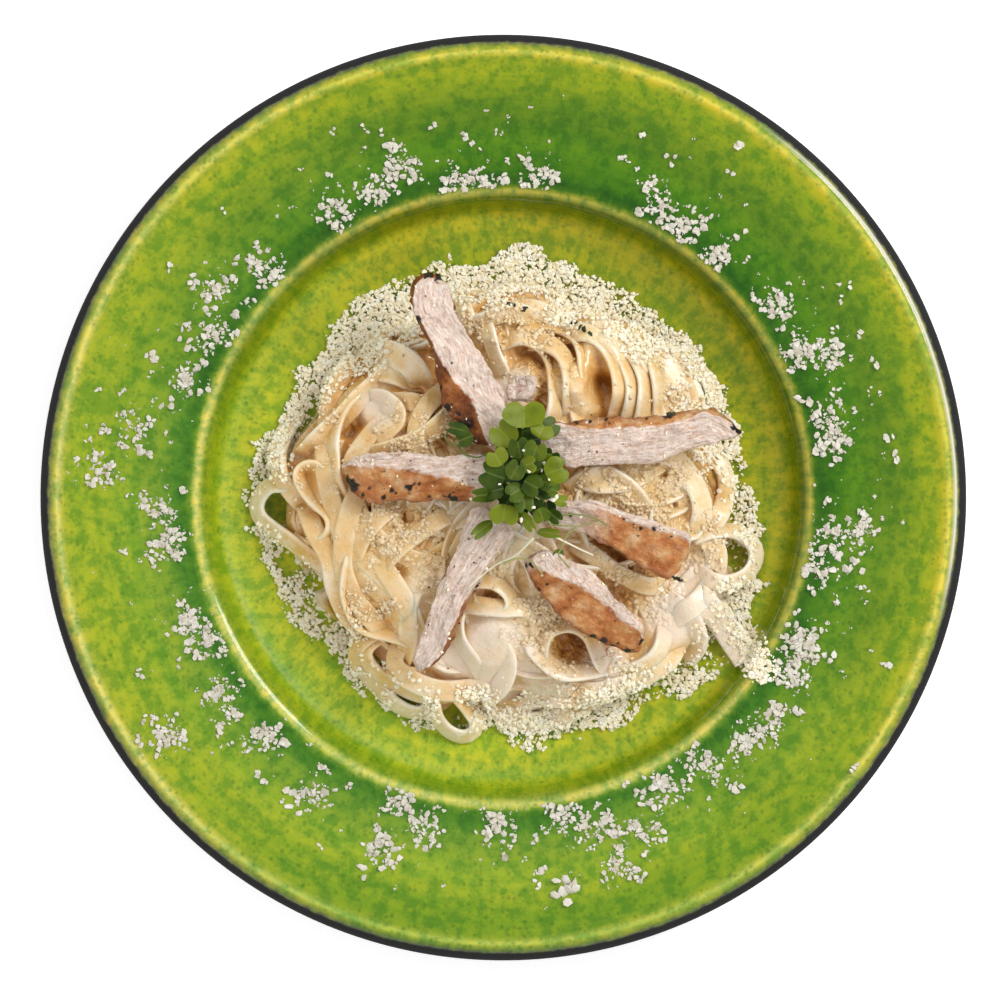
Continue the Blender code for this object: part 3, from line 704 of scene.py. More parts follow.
def foodMarks(points):
    # Depth below the crests in mm, which paints shade into folds and gaps, fading out to the heap's edge, and
    # shares for cream and for the amber painted shade
    x, y = points[:, 0], points[:, 1]
    below = np.clip((heightAt(crest, x, y) - points[:, 2]) / mm, 0, 12)
    out = insideOutline(x, y) / mm
    blur = 0.35 * noise(np.stack([x, y], axis=1), 4 * mm, 26)
    creamy, amberShade = (np.clip(spots(x, y, tints[label]) * (1 + blur) + 0.4 * blur, 0, 1)
                     for label in ("creamy", "amberShade"))
    shown = ease(out, 2, 15) * ease(points[:, 2], 9 * mm, 15 * mm)
    return {"depth": below * shown, "creamy": creamy, "amberShade": amberShade * (1 - creamy)}


def tintFood(tree, tone):
    # Whitens a tone where cream lies on it and darkens it to amber where shade is painted
    creamy = addNode(tree, "Attribute", attribute_name="creamy", out="Fac")
    amberShade = addNode(tree, "Attribute", attribute_name="amberShade", out="Fac")
    whitened = addNode(tree, "Math", {0: creamy, 1: 0.78}, operation="MULTIPLY")
    for share, colour, blend in ((amberShade, (0.93, 0.80, 0.58, 1), "MULTIPLY"), (whitened, "#f1e1cf", "MIX")):
        tone = addNode(tree, "Mix", {0: share, 6: tone, 7: colour}, data_type="RGBA", blend_type=blend)
    return tone


# Boiled egg pasta in cream sauce: pale, wet, and light goes some way into it; its folds and gaps are also
# painted amber as shade, by their depth
pasta, tree, shader = newMaterial("boiledPastaInCream")
place = addNode(tree, "TexCoord", out="Object")
depth = addNode(tree, "Attribute", attribute_name="depth", out="Fac")
smear = addNode(tree, "TexNoise", {"Vector": place, "Scale": 140, "Detail": 3, "Roughness": 0.6})
smearedCreviceDepth = addNode(tree, "Math", {0: smear, 1: 3.0, 2: depth}, operation="MULTIPLY_ADD")
# painted shade: the deeper a place lies below the crests, the darker and more amber its tone
creviceShade = addNode(tree, "MapRange", {0: smearedCreviceDepth, 1: 1.2, 2: 11.0})
pastaTone = addNode(tree, "ValToRGB", {0: creviceShade}, stops=[
    (0.0, "#f6e2bc"), (0.14, "#f1d8a9"), (0.34, "#e8c687"), (0.60, "#d4a253"), (1.0, "#9e6216")])
# the cream clings as a broken film, whitish where it is thick and butter-yellow where it is gone
film = addNode(tree, "TexNoise", {"Vector": place, "Scale": 230, "Detail": 6, "Roughness": 0.68})
filmShare = addNode(tree, "MapRange", {0: film, 1: 0.5, 2: 0.64, 4: 0.5})
butterShare = addNode(tree, "MapRange", {0: film, 1: 0.48, 2: 0.36, 4: 0.5})
# painted highlight: the thin long edges are lighter, as if the most light came through them, less so deep in
# the folds
edge = addNode(tree, "Attribute", attribute_name="edge", out="Fac")
highlightByDepth = addNode(tree, "MapRange", {0: creviceShade, 1: 0.15, 2: 0.75, 3: 0.85, 4: 0.0})
edgeHighlightShare = addNode(tree, "Math", {0: edge, 1: highlightByDepth}, operation="MULTIPLY")
for share, colour, blend in ((filmShare, "#f8ecd8", "MIX"), (butterShare, (0.93, 0.83, 0.62, 1), "MULTIPLY"),
                             (edgeHighlightShare, "#fff8e8", "MIX")):
    pastaTone = addNode(tree, "Mix", {0: share, 6: pastaTone, 7: colour}, data_type="RGBA", blend_type=blend)
fine = addNode(tree, "TexNoise", {"Vector": place, "Scale": 650, "Detail": 3, "Roughness": 0.6})
fineBump = addNode(tree, "Bump", {"Height": fine, "Strength": 0.34, "Distance": 0.0008})
filmBump = addNode(tree, "Bump", {"Height": film, "Strength": 0.45, "Distance": 0.0016, "Normal": fineBump})
fillSockets(tree, shader, {
    "Base Color": tintFood(tree, pastaTone), "Roughness": 0.24, "IOR": 1.45, "Coat Weight": 0.5,
    "Coat Roughness": 0.1,
    "Subsurface Weight": 0.4, "Subsurface Radius": (1.0, 0.7, 0.45), "Subsurface Scale": 0.0007,
    "Normal": filmBump})

for name, ribbons in (("noodles_under", underRibbons), ("noodles_top", topRibbons)):
    points, faces = joinRibbons(ribbons)
    # marks where the painted edge highlight goes
    edgeHighlightMark = np.tile(np.abs(sectionAcross) ** 5, len(points) // noodle["sides"])
    makePiece(name, points, faces, pasta, {**foodMarks(points), "edge": edgeHighlightMark})


# The bed: cream sauce and melted cheese between the noodles, fine-grained where cheese was sprinkled

bed = {
    "drop": 0.7,  # mm below the blurred height of the noodles
    # under sprinkled cheese: x, y and radius in mm
    "dusty": ((-36, -9, 9), (-25, -9, 9), (-20, -20, 7), (-22, 22, 8), (-33, 18, 6), (-12, 20, 6),
              (38, 4, 10), (51, 7, 9), (26, 5, 8), (47, -2, 7), (6, 60, 12), (-2, 53, 8), (16, 58, 8),
              (8, 36, 6), (16, 40, 5), (60, 30, 8), (56, 40, 7), (-40, -33, 6), (18, -54, 9), (30, -50, 7),
              (32, -22, 8), (44, -30, 8), (10, -40, 8), (20, -46, 6), (-2, -22, 6), (60, -14, 8),
              (-56, 28, 8)),
    # sunk further, or raised where the last number is below 0: x, y, radius and depth in mm
    "hollow": ((28, 34, 3, 1.2), (13.5, 46.5, 3.5, 1), (-4, 44, 3, 1), (-26, 30, 3, 2.5), (-3, -30.5, 3, 2),
               (18, -45.5, 5, -1.2), (-5, -45, 9, -2), (30, 43, 8, -3.2), (19, 36, 7, -3), (27, 30, 7, -2.6),
               (8, 37, 6, -1.5), (26.5, 7, 2, 3), (38, 3, 9, -1.6), (51, 5, 7, -1.2), (-32, -11, 9, -2.6),
               (-22, -22, 8, -2.6), (-22, 21, 6, -1.2), (12, -42, 7, -1.4), (48, 7.5, 1.8, 3),
               (40, 0, 1.8, 2), (51, -2, 1.8, 2), (-22, 24, 1.8, 2.5), (-40, -5, 1.8, 2.5), (-29, -6, 2, 3),
               (-20, -15, 2.5, 2.5), (-47, 20, 2.5, 2), (-51, 20, 2.2, 3), (58.5, 32, 2, 3),
               (-67.5, -4, 5, 12), (-56, -24.5, 4.5, 12), (69, -18, 3.5, 12), (-29, -60, 3, 8),
               (-12.5, -66, 3, 8)),
}


def bedHeight(x, y):
    # The blurred height of the noodles, more blurred and less sunk in creamy and in dusty places
    creamy = spots(x, y, tints["creamy"])
    dusty = spots(x, y, bed["dusty"])
    level = heightAt(blurred, x, y)
    level = level + (heightAt(levelled, x, y) - level) * np.clip(0.35 + creamy + 0.4 * dusty, 0, 1)
    flat = np.stack([x, y], axis=-1)
    drop = bed["drop"] + spots(x, y, tints["amberShade"]) - 0.9 * creamy - 0.7 * dusty
    drop = drop - 0.9 * noise(flat, 9 * mm, 24)
    for a, b, r, down in bed["hollow"]:
        drop = drop + down * spots(x, y, [(a, b, r)], 0.5, 1.2)
    grain = noise(flat, 1.1 * mm, 21) * 0.75 + noise(flat, 1.8 * mm, 22) * 0.6
    grain = grain + noise(flat, 4.5 * mm, 23) * 0.5
    relief = grain * (0.25 + 0.85 * dusty) * (1 - 0.45 * creamy)
    return level - (drop - relief) * mm, dusty


blurred, levelled = blurGrid(foodHeight, 1.6 * mm), blurGrid(foodHeight, 4.5 * mm)
bedRows, bedColumns = 150, 560
bedShare = np.linspace(0.01, 1, bedRows)[:, None]
bedAngle = np.arange(bedColumns) * turn / bedColumns
bedReach = heapOutline(bedAngle) - 9 * mm
bedX, bedY = bedReach * bedShare * np.cos(bedAngle), bedReach * bedShare * np.sin(bedAngle)
bedZ, bedDusty = bedHeight(bedX, bedY)
bedRadius = np.hypot(bedX, bedY)
under = floorHeight(bedRadius) - 1.0 * mm
bedZ = np.where(bedShare > 0.97, under + (bedZ - under) * ((1 - bedShare) / 0.03), bedZ)
bedZ = np.maximum(bedZ, under + 0.05 * mm)
bottomX, bottomY = bedX[::-8], bedY[::-8]
bottomZ = floorHeight(np.hypot(bottomX, bottomY)) - 1.2 * mm
bedPoints = np.concatenate([np.stack([bedX, bedY, bedZ], axis=-1),
                            np.stack([bottomX, bottomY, bottomZ], axis=-1)])
bedFaces = poledFaces(len(bedPoints), bedColumns)
bedPoles = np.array([[0, 0, bedZ[0].mean()], [0, 0, bottomZ[-1].mean()]])
bedPoints = np.concatenate([bedPoints.reshape(-1, 3), bedPoles])
dustyMark = np.concatenate([bedDusty.ravel(), np.zeros(bottomZ.size + 2)])

# Cream sauce thickened with melted cheese: matt and mealy where cheese lies on it, glossy where it is sauce
cream, tree, shader = newMaterial("creamSauceWithCheese")
place = addNode(tree, "TexCoord", out="Object")
depth = addNode(tree, "Attribute", attribute_name="depth", out="Fac")
dusty = addNode(tree, "Attribute", attribute_name="dusty", out="Fac")
# painted shade: darker and more amber the deeper it lies below the crests
creviceShade = addNode(tree, "MapRange", {0: depth, 1: 1.0, 2: 9.0})
creamTone = addNode(tree, "ValToRGB", {0: creviceShade}, stops=[
    (0.0, "#f6e1be"), (0.2, "#f0d3a0"), (0.42, "#e4ba78"), (0.68, "#ce9644"), (1.0, "#9c5f16")])
# grains about 1 mm across, run together
mealy = addNode(tree, "TexVoronoi", {"Vector": place, "Scale": 900, "Smoothness": 0.6}, feature="SMOOTH_F1")
mealyTone = addNode(tree, "MapRange", {0: mealy, 1: 0.1, 2: 0.7, 3: 1.03, 4: 0.92})
# in some places it is browned butter-yellow
pool = addNode(tree, "TexNoise", {"Vector": place, "Scale": 95, "Detail": 4, "Roughness": 0.6})
buttery = addNode(tree, "MapRange", {0: pool, 1: 0.5, 2: 0.36, 4: 0.6})
for share, colour, blend in ((buttery, "#ecc078", "MIX"), (1.0, mealyTone, "MULTIPLY")):
    creamTone = addNode(tree, "Mix", {0: share, 6: creamTone, 7: colour}, data_type="RGBA", blend_type=blend)
sheen = addNode(tree, "MapRange", {0: dusty, 3: 0.2, 4: 0.6})
grainy = addNode(tree, "MapRange", {0: dusty, 3: 0.12, 4: 0.9})
creamBump = addNode(tree, "Bump", {"Height": mealy, "Strength": grainy, "Distance": 0.0013}, invert=True)
fillSockets(tree, shader, {
    "Base Color": tintFood(tree, creamTone), "Roughness": sheen, "IOR": 1.42, "Coat Weight": 0.7,
    "Coat Roughness": 0.08,
    "Subsurface Weight": 0.6, "Subsurface Radius": (1.0, 0.7, 0.45), "Subsurface Scale": 0.0010,
    "Normal": creamBump})
bedPiece = makePiece("cream_bed", bedPoints, bedFaces, cream,
                     {**foodMarks(bedPoints), "dusty": dustyMark})
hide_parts("fettuccine_heap")
withinHeap = insideOutline(gridX, gridY)
foodHeight = np.maximum(foodHeight, np.where(withinHeap > 11 * mm, bedHeight(gridX, gridY)[0], 0))


# The apron: grated cheese that fell round the heap, a low ring with a ragged edge

apron = {
    "inner": 50.0, "thick": 1.25,  # mm
    "rows": 84, "columns": 840,
    # bare glaze: x, y and radius in mm
    "bare": ((65, -3, 10), (68, 6, 8), (62, -48, 9), (46, -62, 9), (71, -18, 5), (60, -20, 4), (-67.5, -4, 7),
             (-56, -24.5, 7), (-29, -60, 4), (-12.5, -66, 4), (-75, -16, 5), (-47, -58, 5)),
}
apronAngle = np.arange(apron["columns"]) * turn / apron["columns"]
apronOut = heapOutline(apronAngle) + 2 * mm
apronShare = np.linspace(0, 1, apron["rows"])[:, None]
apronR = apron["inner"] * mm + (apronOut - apron["inner"] * mm) * apronShare
apronX, apronY = apronR * np.cos(apronAngle), apronR * np.sin(apronAngle)
flat = np.stack([apronX, apronY], axis=-1)
ragged = noise(flat, 5.5 * mm, 31) * 1.6 + noise(flat, 2.4 * mm, 32) * 1.1
inside = (heapOutline(apronAngle) - apronR) / mm - 7 + ragged  # mm inside the ragged edge
body = apron["thick"] * ease(inside, 0, 4) - 0.75 - 2.2 * spots(apronX, apronY, apron["bare"], 0.4, 1.1)
grains = noise(flat, 0.75 * mm, 33) * 0.75 + noise(flat, 1.3 * mm, 34) * 0.6
apronZ = floorHeight(apronR) + (body + grains * ease(inside, -2, 2)) * mm
apronZ = np.where(inside > -1.5, apronZ, floorHeight(apronR) - 0.6 * mm)
apronZ = np.maximum(apronZ, floorHeight(apronR) - 0.6 * mm)
apronZ[[0, -1]] = floorHeight(apronR[[0, -1]]) - 0.6 * mm
backX, backY = apronX[::-12], apronY[::-12]
backZ = floorHeight(np.hypot(backX, backY)) - 0.9 * mm
apronPoints = np.concatenate([np.stack([apronX, apronY, apronZ], axis=-1),
                              np.stack([backX, backY, backZ], axis=-1)])
apronFaces = [gridFaces(len(apronPoints), apron["columns"], closedRows=True)]

# Grated hard cheese: matt, and uneven in tone from crumb to crumb
cheeseLooks = {
    # dry, cream white with a yellow cast, and a little light goes into it
    "gratedHardCheese": (("#f4e6c0", "#fcf2d6", "#fffaea"), {
        "Roughness": 0.62, "Subsurface Weight": 0.3, "Subsurface Radius": (1.0, 0.9, 0.7),
        "Subsurface Scale": 0.0004}),
    # on the rim it is greyer
    "greyerGratedCheese": (("#c6bea8", "#d4cec0", "#e2ddd2"), {"Roughness": 0.7}),
    # in the sauce it is wet, warm and starting to melt
    "meltingGratedCheese": (("#e9cd9b", "#efd7ad", "#f5e3c3"), {"Roughness": 0.5}),
}
cheeses = []
for name, (tones, look) in cheeseLooks.items():
    material, tree, shader = newMaterial(name)
    place = addNode(tree, "TexCoord", out="Object")
    crumbTone = addNode(tree, "TexNoise", {"Vector": place, "Scale": 420, "Detail": 2, "Roughness": 0.6})
    tone = addNode(tree, "ValToRGB", {0: crumbTone}, stops=list(zip((0.3, 0.5, 0.7), tones)))
    fillSockets(tree, shader, {"Base Color": tone, "IOR": 1.44, **look})
    cheeses.append(material)
dryCheese, rimCheese, meltingCheese = cheeses
makePiece("cheese_apron", apronPoints.reshape(-1, 3), apronFaces, dryCheese)
inApron = (gridRadius > apron["inner"] * mm) & (withinHeap > 0)
foodHeight = np.maximum(foodHeight, np.where(inApron, floorHeight(gridRadius) + 0.7 * mm, 0))


# Loose grains of cheese: twenty-faced crumbs of random shape and turn

golden = (1 + math.sqrt(5)) / 2
crumbPoints = np.array([(a, b * golden, 0) for a in (-1, 1) for b in (-1, 1)])
crumbPoints = np.concatenate([np.roll(crumbPoints, k, axis=1) for k in range(3)]) / math.hypot(1, golden)
spacing = np.linalg.norm(crumbPoints[:, None] - crumbPoints, axis=-1)
crumbFaces = []
for a, b, c in ((a, b, c) for a in range(12) for b in range(a + 1, 12) for c in range(b + 1, 12)):
    if max(spacing[a, b], spacing[b, c], spacing[a, c]) < 1.1:
        outward = np.dot(np.cross(crumbPoints[b] - crumbPoints[a], crumbPoints[c] - crumbPoints[a]),
                         crumbPoints[a])
        crumbFaces.append((a, b, c) if outward > 0 else (a, c, b))
crumbFaces = np.array(crumbFaces)


def scatterCrumbs(name, x, y, size, material, slot, seed, flatness=(0.45, 0.9), sink=0.25, lift=0.0,
                  smooth=False):
    # A crumb at each place: the twenty-faced form stretched, roughened, turned and set on what lies there
    dice = np.random.default_rng(seed)
    total = len(x)
    shape = crumbPoints[None] * (1 + 0.42 * dice.uniform(-1, 1, (total, 12, 1)))
    shape = shape * np.stack([np.ones(total), dice.uniform(0.55, 1.0, total), dice.uniform(*flatness, total)],
                             axis=1)[:, None]
    tipX, tipY = dice.uniform(-0.6, 0.6, (2, total))
    heading = dice.uniform(0, turn, total)
    across, along, up = np.moveaxis(shape, -1, 0)
    along, up = (along * np.cos(tipX)[:, None] - up * np.sin(tipX)[:, None],
                 along * np.sin(tipX)[:, None] + up * np.cos(tipX)[:, None])
    across, up = (across * np.cos(tipY)[:, None] + up * np.sin(tipY)[:, None],
                  -across * np.sin(tipY)[:, None] + up * np.cos(tipY)[:, None])
    c, s = np.cos(heading)[:, None], np.sin(heading)[:, None]
    half = size[:, None] / 2
    ground = np.maximum(heightAt(foodHeight, x, y), plateTop(np.hypot(x, y)))
    z = (ground + lift)[:, None] + (up - up.min(axis=1, keepdims=True) * (1 - sink)) * half
    points = np.stack([x[:, None] + (across * c - along * s) * half,
                       y[:, None] + (across * s + along * c) * half, z], axis=-1)
    faces = (np.arange(total)[:, None, None] * 12 + crumbFaces).reshape(-1, 3)
    return makePiece(name, points, [faces], material, smooth=smooth)


def pickPlaces(total, limit, chance, dice):
    # Random places in a disc of that radius, kept by a chance from 0 to 1 that depends on the place
    x, y = dice.uniform(-limit, limit, (2, total * 8))
    keep = (np.hypot(x, y) < limit) & (dice.uniform(0, 1, total * 8) < chance(x, y))
    return x[keep][:total], y[keep][:total]


def skirtChance(x, y):
    # Dense from the ragged outline to 9 to 16 mm inside it, over what lies there, and less where noodles
    # are bare and where the glaze shows
    out = insideOutline(x, y) / mm
    flat = np.stack([x, y], axis=-1)
    ragged = out + noise(flat, 5.5 * mm, 31) * 2.2 + noise(flat, 2.4 * mm, 32) * 1.6
    inner = 12.5 + 4 * noise(flat, 9 * mm, 35) + 2 * noise(flat, 3 * mm, 36) + 2.5 * ease(y, 20 * mm, 60 * mm)
    inner = inner + 7 * spots(x, y, skirt["wide"])
    clumps = 0.5 + 0.5 * ease(noise(flat, 3.2 * mm, 37) + out / 9, -0.1, 0.6)
    band = ease(ragged, -0.2, 1.4) * clumps * (1 - ease(out, inner - 6, inner + 4))
    return band * (1 - 0.85 * spots(x, y, skirt["gaps"])) * (1 - 0.96 * spots(x, y, skirt["bare"]))


def dustChance(x, y):
    # On the noodles: most in the dusty places, a little everywhere on the heap
    out = insideOutline(x, y) / mm
    shallow = 1 - ease(heightAt(crest, x, y) - heightAt(foodHeight, x, y), 2 * mm, 5 * mm)
    shallow = shallow * (0.04 + 0.96 * ease(noise(np.stack([x, y], axis=-1), 4 * mm, 27), 0.0, 0.35))
    chance = 0.06 + 0.94 * spots(x, y, bed["dusty"])
    return shallow * chance * ease(out, 6, 12) * (1 - 0.8 * spots(x, y, tints["creamy"]))


skirt = {
    "crumbs": (9400, 7600), "reach": 92, "size": (0.55, 1.35),  # mm: the least, and what chance adds
    # x, y and radius in mm of the places where the band is wider
    "wide": ((-46, 46, 12), (-60, 27, 8), (-30, 54, 7), (-58, -38, 7), (60, 38, 7)),
    # open to the glaze
    "gaps": ((65, -3, 8), (68, 6, 6), (62, -48, 6), (46, -62, 7), (69, -18, 4), (-67.5, -4, 5),
             (-56, -24.5, 5), (-29, -60, 3.5), (-12.5, -66, 3.5)),
    # broken by a bare noodle
    "bare": ((-70, -2, 8), (-62, -12, 8), (-56, 6, 10), (-52, -32, 7), (-42, -48, 5), (-38, -56, 5),
             (-30, -62, 5), (-16, -66, 5), (-66, -20, 4), (72, -20, 5), (58, 33, 4), (50, 38, 5),
             (-44, 30, 8), (-55, 22, 7), (52, -32, 8), (-26, -52, 8), (70, -42, 6)),
}
rng = np.random.default_rng(11)
for k, name in enumerate(("cheese_skirt_low", "cheese_skirt_high")):
    skirtX, skirtY = pickPlaces(skirt["crumbs"][k], skirt["reach"] * mm, skirtChance, rng)
    beside = rng.uniform(0, 1, 500)  # grains along the sheet that climbs the ridge
    skirtX = np.append(skirtX, (69 + 10 * beside + rng.normal(0, 2.2, 500)) * mm)
    skirtY = np.append(skirtY, (-34 - 20 * beside + rng.normal(0, 1.8, 500)) * mm)
    skirtSize = (skirt["size"][0] + skirt["size"][1] * rng.uniform(0, 1, len(skirtX)) ** 1.5) * mm
    scatterCrumbs(name, skirtX, skirtY, skirtSize, dryCheese, "cheese", 12 + k, flatness=(0.28, 0.6),
                  lift=rng.uniform(0, 0.5 * k, len(skirtX)) * mm)
# crumbs, their least size and what chance adds in mm, and the power that favours small ones
dust = {"reach": 80, "coarse": (8000, 0.45, 1.6, 2.0), "fine": (9400, 0.35, 0.5, 1.0)}
for name, label, seed, sink, flatness in (("cheese_on_noodles", "coarse", 15, 0.9, (0.3, 0.6)),
                                          ("fine_cheese_on_noodles", "fine", 16, 0.7, (0.3, 0.7))):
    total, least, more, power = dust[label]
    dustX, dustY = pickPlaces(total, dust["reach"] * mm, dustChance, rng)
    dustSize = (least + more * rng.uniform(0, 1, len(dustX)) ** power) * mm
    scatterCrumbs(name, dustX, dustY, dustSize, meltingCheese, "cheese", seed, flatness, sink,
                  smooth=label == "coarse")

rim = {
    "each": 46, "spread": 3.0,  # crumbs in a cluster and how far they scatter, mm
    "loose": 420, "looseAt": (106, 10),  # single crumbs, and how far from the axis, mm
    "size": (0.35, 2.2),  # mm: the least, and what chance adds
    "bigFlake": (19.5, -118.5),  # x, y in mm
    "between": (94, 134),  # mm from the axis
}
rimClusters = (  # x, y in mm
    (-52, 87), (-39, 93), (-31, 102), (-13, 97), (-4, 93), (11, 96), (46, 90), (55, 82), (65, 73), (-87, 63),
    (-72, 69), (-87, 49), (-96, 35), (-113, 21), (-122, 7), (-104, -4), (-101, -14), (-95, -37), (-90, -43),
    (-84, -61), (-73, -73), (-102, -72), (-57, -90), (-31, -91), (-25, -100), (-37, -106), (-1, -97),
    (17, -96), (29, -100), (41, -100), (49, -88), (35, -111), (62, -81), (73, -73), (81, -67), (90, -46),
    (96, -22), (97, -11), (108, -9), (99, 17), (97, 26), (90, 44), (82, 58), (99, 43), (92, -44), (88, -54))
bunch = np.repeat(np.array(rimClusters, float) * mm, rim["each"], axis=0)
rimPlaces = bunch + rng.normal(0, 1, bunch.shape) * rim["spread"] * mm
looseAngle, looseR = rng.uniform(0, turn, rim["loose"]), rng.normal(*rim["looseAt"], rim["loose"]) * mm
rimPlaces = np.concatenate([rimPlaces, np.stack([looseR * np.cos(looseAngle), looseR * np.sin(looseAngle)],
                                                axis=1)])
rimSize = (rim["size"][0] + rim["size"][1] * rng.uniform(0, 1, len(rimPlaces)) ** 2.4) * mm
bigFlake = np.array(rim["bigFlake"]) * mm + rng.normal(0, 1, (9, 2)) * (1.0, 1.7) * mm
# each flake is three crumbs run together
rimPlaces = np.concatenate([np.repeat(rimPlaces, 3, axis=0), bigFlake])
rimSize = np.concatenate([np.repeat(rimSize, 3), np.full(9, 3.4 * mm)])
rimPlaces = rimPlaces + rng.normal(0, 1, rimPlaces.shape) * 0.42 * rimSize[:, None]
rimR = np.hypot(*rimPlaces.T) / mm
kept = (rimR > rim["between"][0]) & (rimR < rim["between"][1])
scatterCrumbs("cheese_on_rim", *rimPlaces[kept].T, rimSize[kept], rimCheese, "cheese", 14,
              flatness=(0.12, 0.34), sink=0.1)


# Chicken: strips cut from a grilled breast, pale and fibrous where cut, brown and charred where grilled

strips = {
    # Lines from the inner end to the tip, x y in mm: the outer edge on the grilled side, the ridge between
    # grilled and cut side, and the outer edge on the cut side. Thickness and drop of the tip in mm.
    # Shares of the length between which the grilled side turns brown, and past which the tip is all brown.
    # Roast from 0, light, to 1, dark. Charred spots: x, y and radius in mm.
    "chicken_slice_1": {
        "grilled": ((-9, 15), (-14, 22), (-18, 28), (-20.2, 36), (-21.5, 45), (-25.5, 51), (-27.6, 58),
                    (-27.2, 64), (-24, 67.8)),
        "ridge": ((-5, 15.5), (-7.5, 23), (-9.5, 29.5), (-15, 35), (-20, 43.5), (-23.5, 50.5), (-27, 57),
                  (-26.6, 63.5), (-22.6, 67.6)),
        "cut": ((4, 17), (1.2, 24), (0.3, 32), (-4, 39), (-8, 44.5), (-11, 50.5), (-14, 56), (-16, 62),
                (-18, 67)),
        "thick": 10, "drop": 8, "browned": (-0.1, 0.0), "tip": 0.955, "roast": 0.9,
        "charred": ((-25.5, 53.5, 1.5), (-16.5, 27, 1.6), (-11, 22.5, 2.0), (-13, 25, 1.2), (-19, 33, 1.0),
                    (-22, 67.4, 2.0), (-19.2, 67, 1.8), (-14.8, 60.5, 0.9)),
    },
    "chicken_slice_2": {
        "grilled": ((12, 22.8), (20, 22.7), (30, 24), (40, 24.3), (50, 25), (58, 26.5), (63, 26.8),
                    (67.5, 24), (71.5, 20.6)),
        "ridge": ((12, 21.8), (19, 21.6), (28, 20.2), (38, 20.9), (47, 21.2), (54, 23), (60, 25.6),
                  (66, 23.8), (71.2, 20.2)),
        "cut": ((11, 12), (17, 12), (20, 8.8), (28, 9.6), (37, 10.4), (46, 10.4), (55, 14), (64, 16),
                (72, 18.7)),
        "thick": 9.5, "drop": 7, "browned": (-0.1, 0.0), "tip": 0.965, "roast": 0.0,
        "charred": ((22, 22.2, 0.5), (26, 22.8, 0.4), (31, 23.4, 0.6), (34, 23.2, 0.3), (43, 23.8, 0.5),
                    (50, 24.6, 1.2), (48.6, 24.4, 0.8), (71.6, 19.8, 1.9), (69.4, 21.5, 1.4)),
    },
    "chicken_slice_3": {
        "grilled": ((-4, -1), (-14, -1), (-22, -1.2), (-30, -1), (-36, -1.8), (-41, -1.3), (-44.5, 1),
                    (-47, 4.5), (-48.6, 8)),
        "ridge": ((-4, 1.5), (-10, 3.8), (-18, 6.4), (-25, 8.2), (-32, 9.2), (-38, 9.6), (-43, 9.8),
                  (-46.5, 9.7), (-48.6, 9.2)),
        "cut": ((-4, 12.5), (-10, 13), (-20, 12.7), (-28, 13.5), (-36, 13.8), (-41, 13.2), (-45, 11.7),
                (-47.5, 10.6), (-48.5, 10.1)),
        "thick": 10, "drop": 5, "browned": (0.02, 0.15), "tip": 2.0, "roast": 0.25,
        "charred": ((-45.6, 5.2, 1.5), (-44.6, 3.4, 1.4), (-40, 2.7, 0.9), (-33, 1.7, 0.9), (-28, 2.5, 1.5),
                    (-15, -0.4, 1.5), (-17.6, 0.3, 0.8), (-22, 0.6, 0.7), (-36, 0, 0.8), (-25, 4, 0.5),
                    (-42, 0.6, 0.8)),
    },
    "chicken_slice_4": {
        "grilled": ((5, -9), (1, -14), (-3, -19.5), (-7, -25.5), (-10.5, -31.5), (-13.5, -38), (-16, -44.5),
                    (-19, -48.7), (-23, -51.8)),
        "ridge": ((3, -8.5), (-0.8, -14), (-5, -20), (-9, -26.5), (-12.5, -33), (-15.5, -39), (-18, -45),
                  (-20.5, -49), (-24, -51.9)),
        "cut": ((-8, -1.5), (-11.5, -7), (-13.5, -13), (-16.5, -20), (-19.5, -27), (-22, -35), (-25, -43),
                (-27, -49), (-26.4, -52)),
        "thick": 9, "drop": 7, "browned": (0.3, 0.6), "tip": 2.0, "roast": 0.45,
        "charred": ((-8.6, -28.4, 0.8), (-8, -26.6, 0.6), (-26.6, -51.2, 0.8), (-16.6, -47, 0.8)),
    },
    "chicken_slice_5": {
        "grilled": ((12, -8.5), (19, -9.6), (25, -11.5), (31, -14.8), (37, -18.4), (43, -21.6), (47.5, -23.7),
                    (51, -25)),
        "ridge": ((13, -2), (21, -2.6), (28, -3), (35, -5.4), (42, -7.8), (49, -10), (53.5, -11.4),
                  (57.2, -13)),
        "cut": ((14, 0), (21, -0.8), (28, -1), (35, -3.8), (42, -6), (49, -8.2), (54, -9.8), (58, -11.8)),
        "thick": 9.5, "drop": 4, "browned": (0.16, 0.52), "tip": 2.0, "roast": 0.15,
        "charred": ((39, -9, 0.6), (41, -9, 0.6), (45, -9.5, 0.7), (40.4, -11.5, 0.5), (46, -19.5, 0.4),
                    (50.6, -24.3, 1.0), (18.5, 1.0, 0.9), (20, -5, 0.6), (36, -6.6, 0.5)),
    },
    "chicken_slice_6": {
        "grilled": ((5, -19), (8, -24.5), (11.5, -29.5), (16.5, -35.4), (23, -40.3), (30, -43.8), (36, -46.4),
                    (40.6, -47.2)),
        "ridge": ((9, -19), (13, -22.5), (19, -24.6), (25, -26.8), (30, -31), (35, -35.2), (39.5, -38.8),
                  (42.8, -42)),
        "cut": ((12, -15.5), (17, -17), (21, -19.3), (26, -22), (30, -26), (35, -31.2), (39.5, -35.5),
                (43.2, -40)),
        "thick": 10, "drop": 5, "browned": (0.0, 0.12), "tip": 2.0, "roast": 0.25,
        "charred": ((27, -42.3, 0.9), (30, -43.4, 1.2), (33, -44.4, 1.4), (37, -46, 1.6), (40, -46.8, 1.5),
                    (42.4, -43.6, 1.2), (7, -20.5, 1.6), (11, -27.5, 0.9), (13, -26, 0.7), (33.5, -37, 0.4),
                    (25, -33, 0.4)),
    },
}
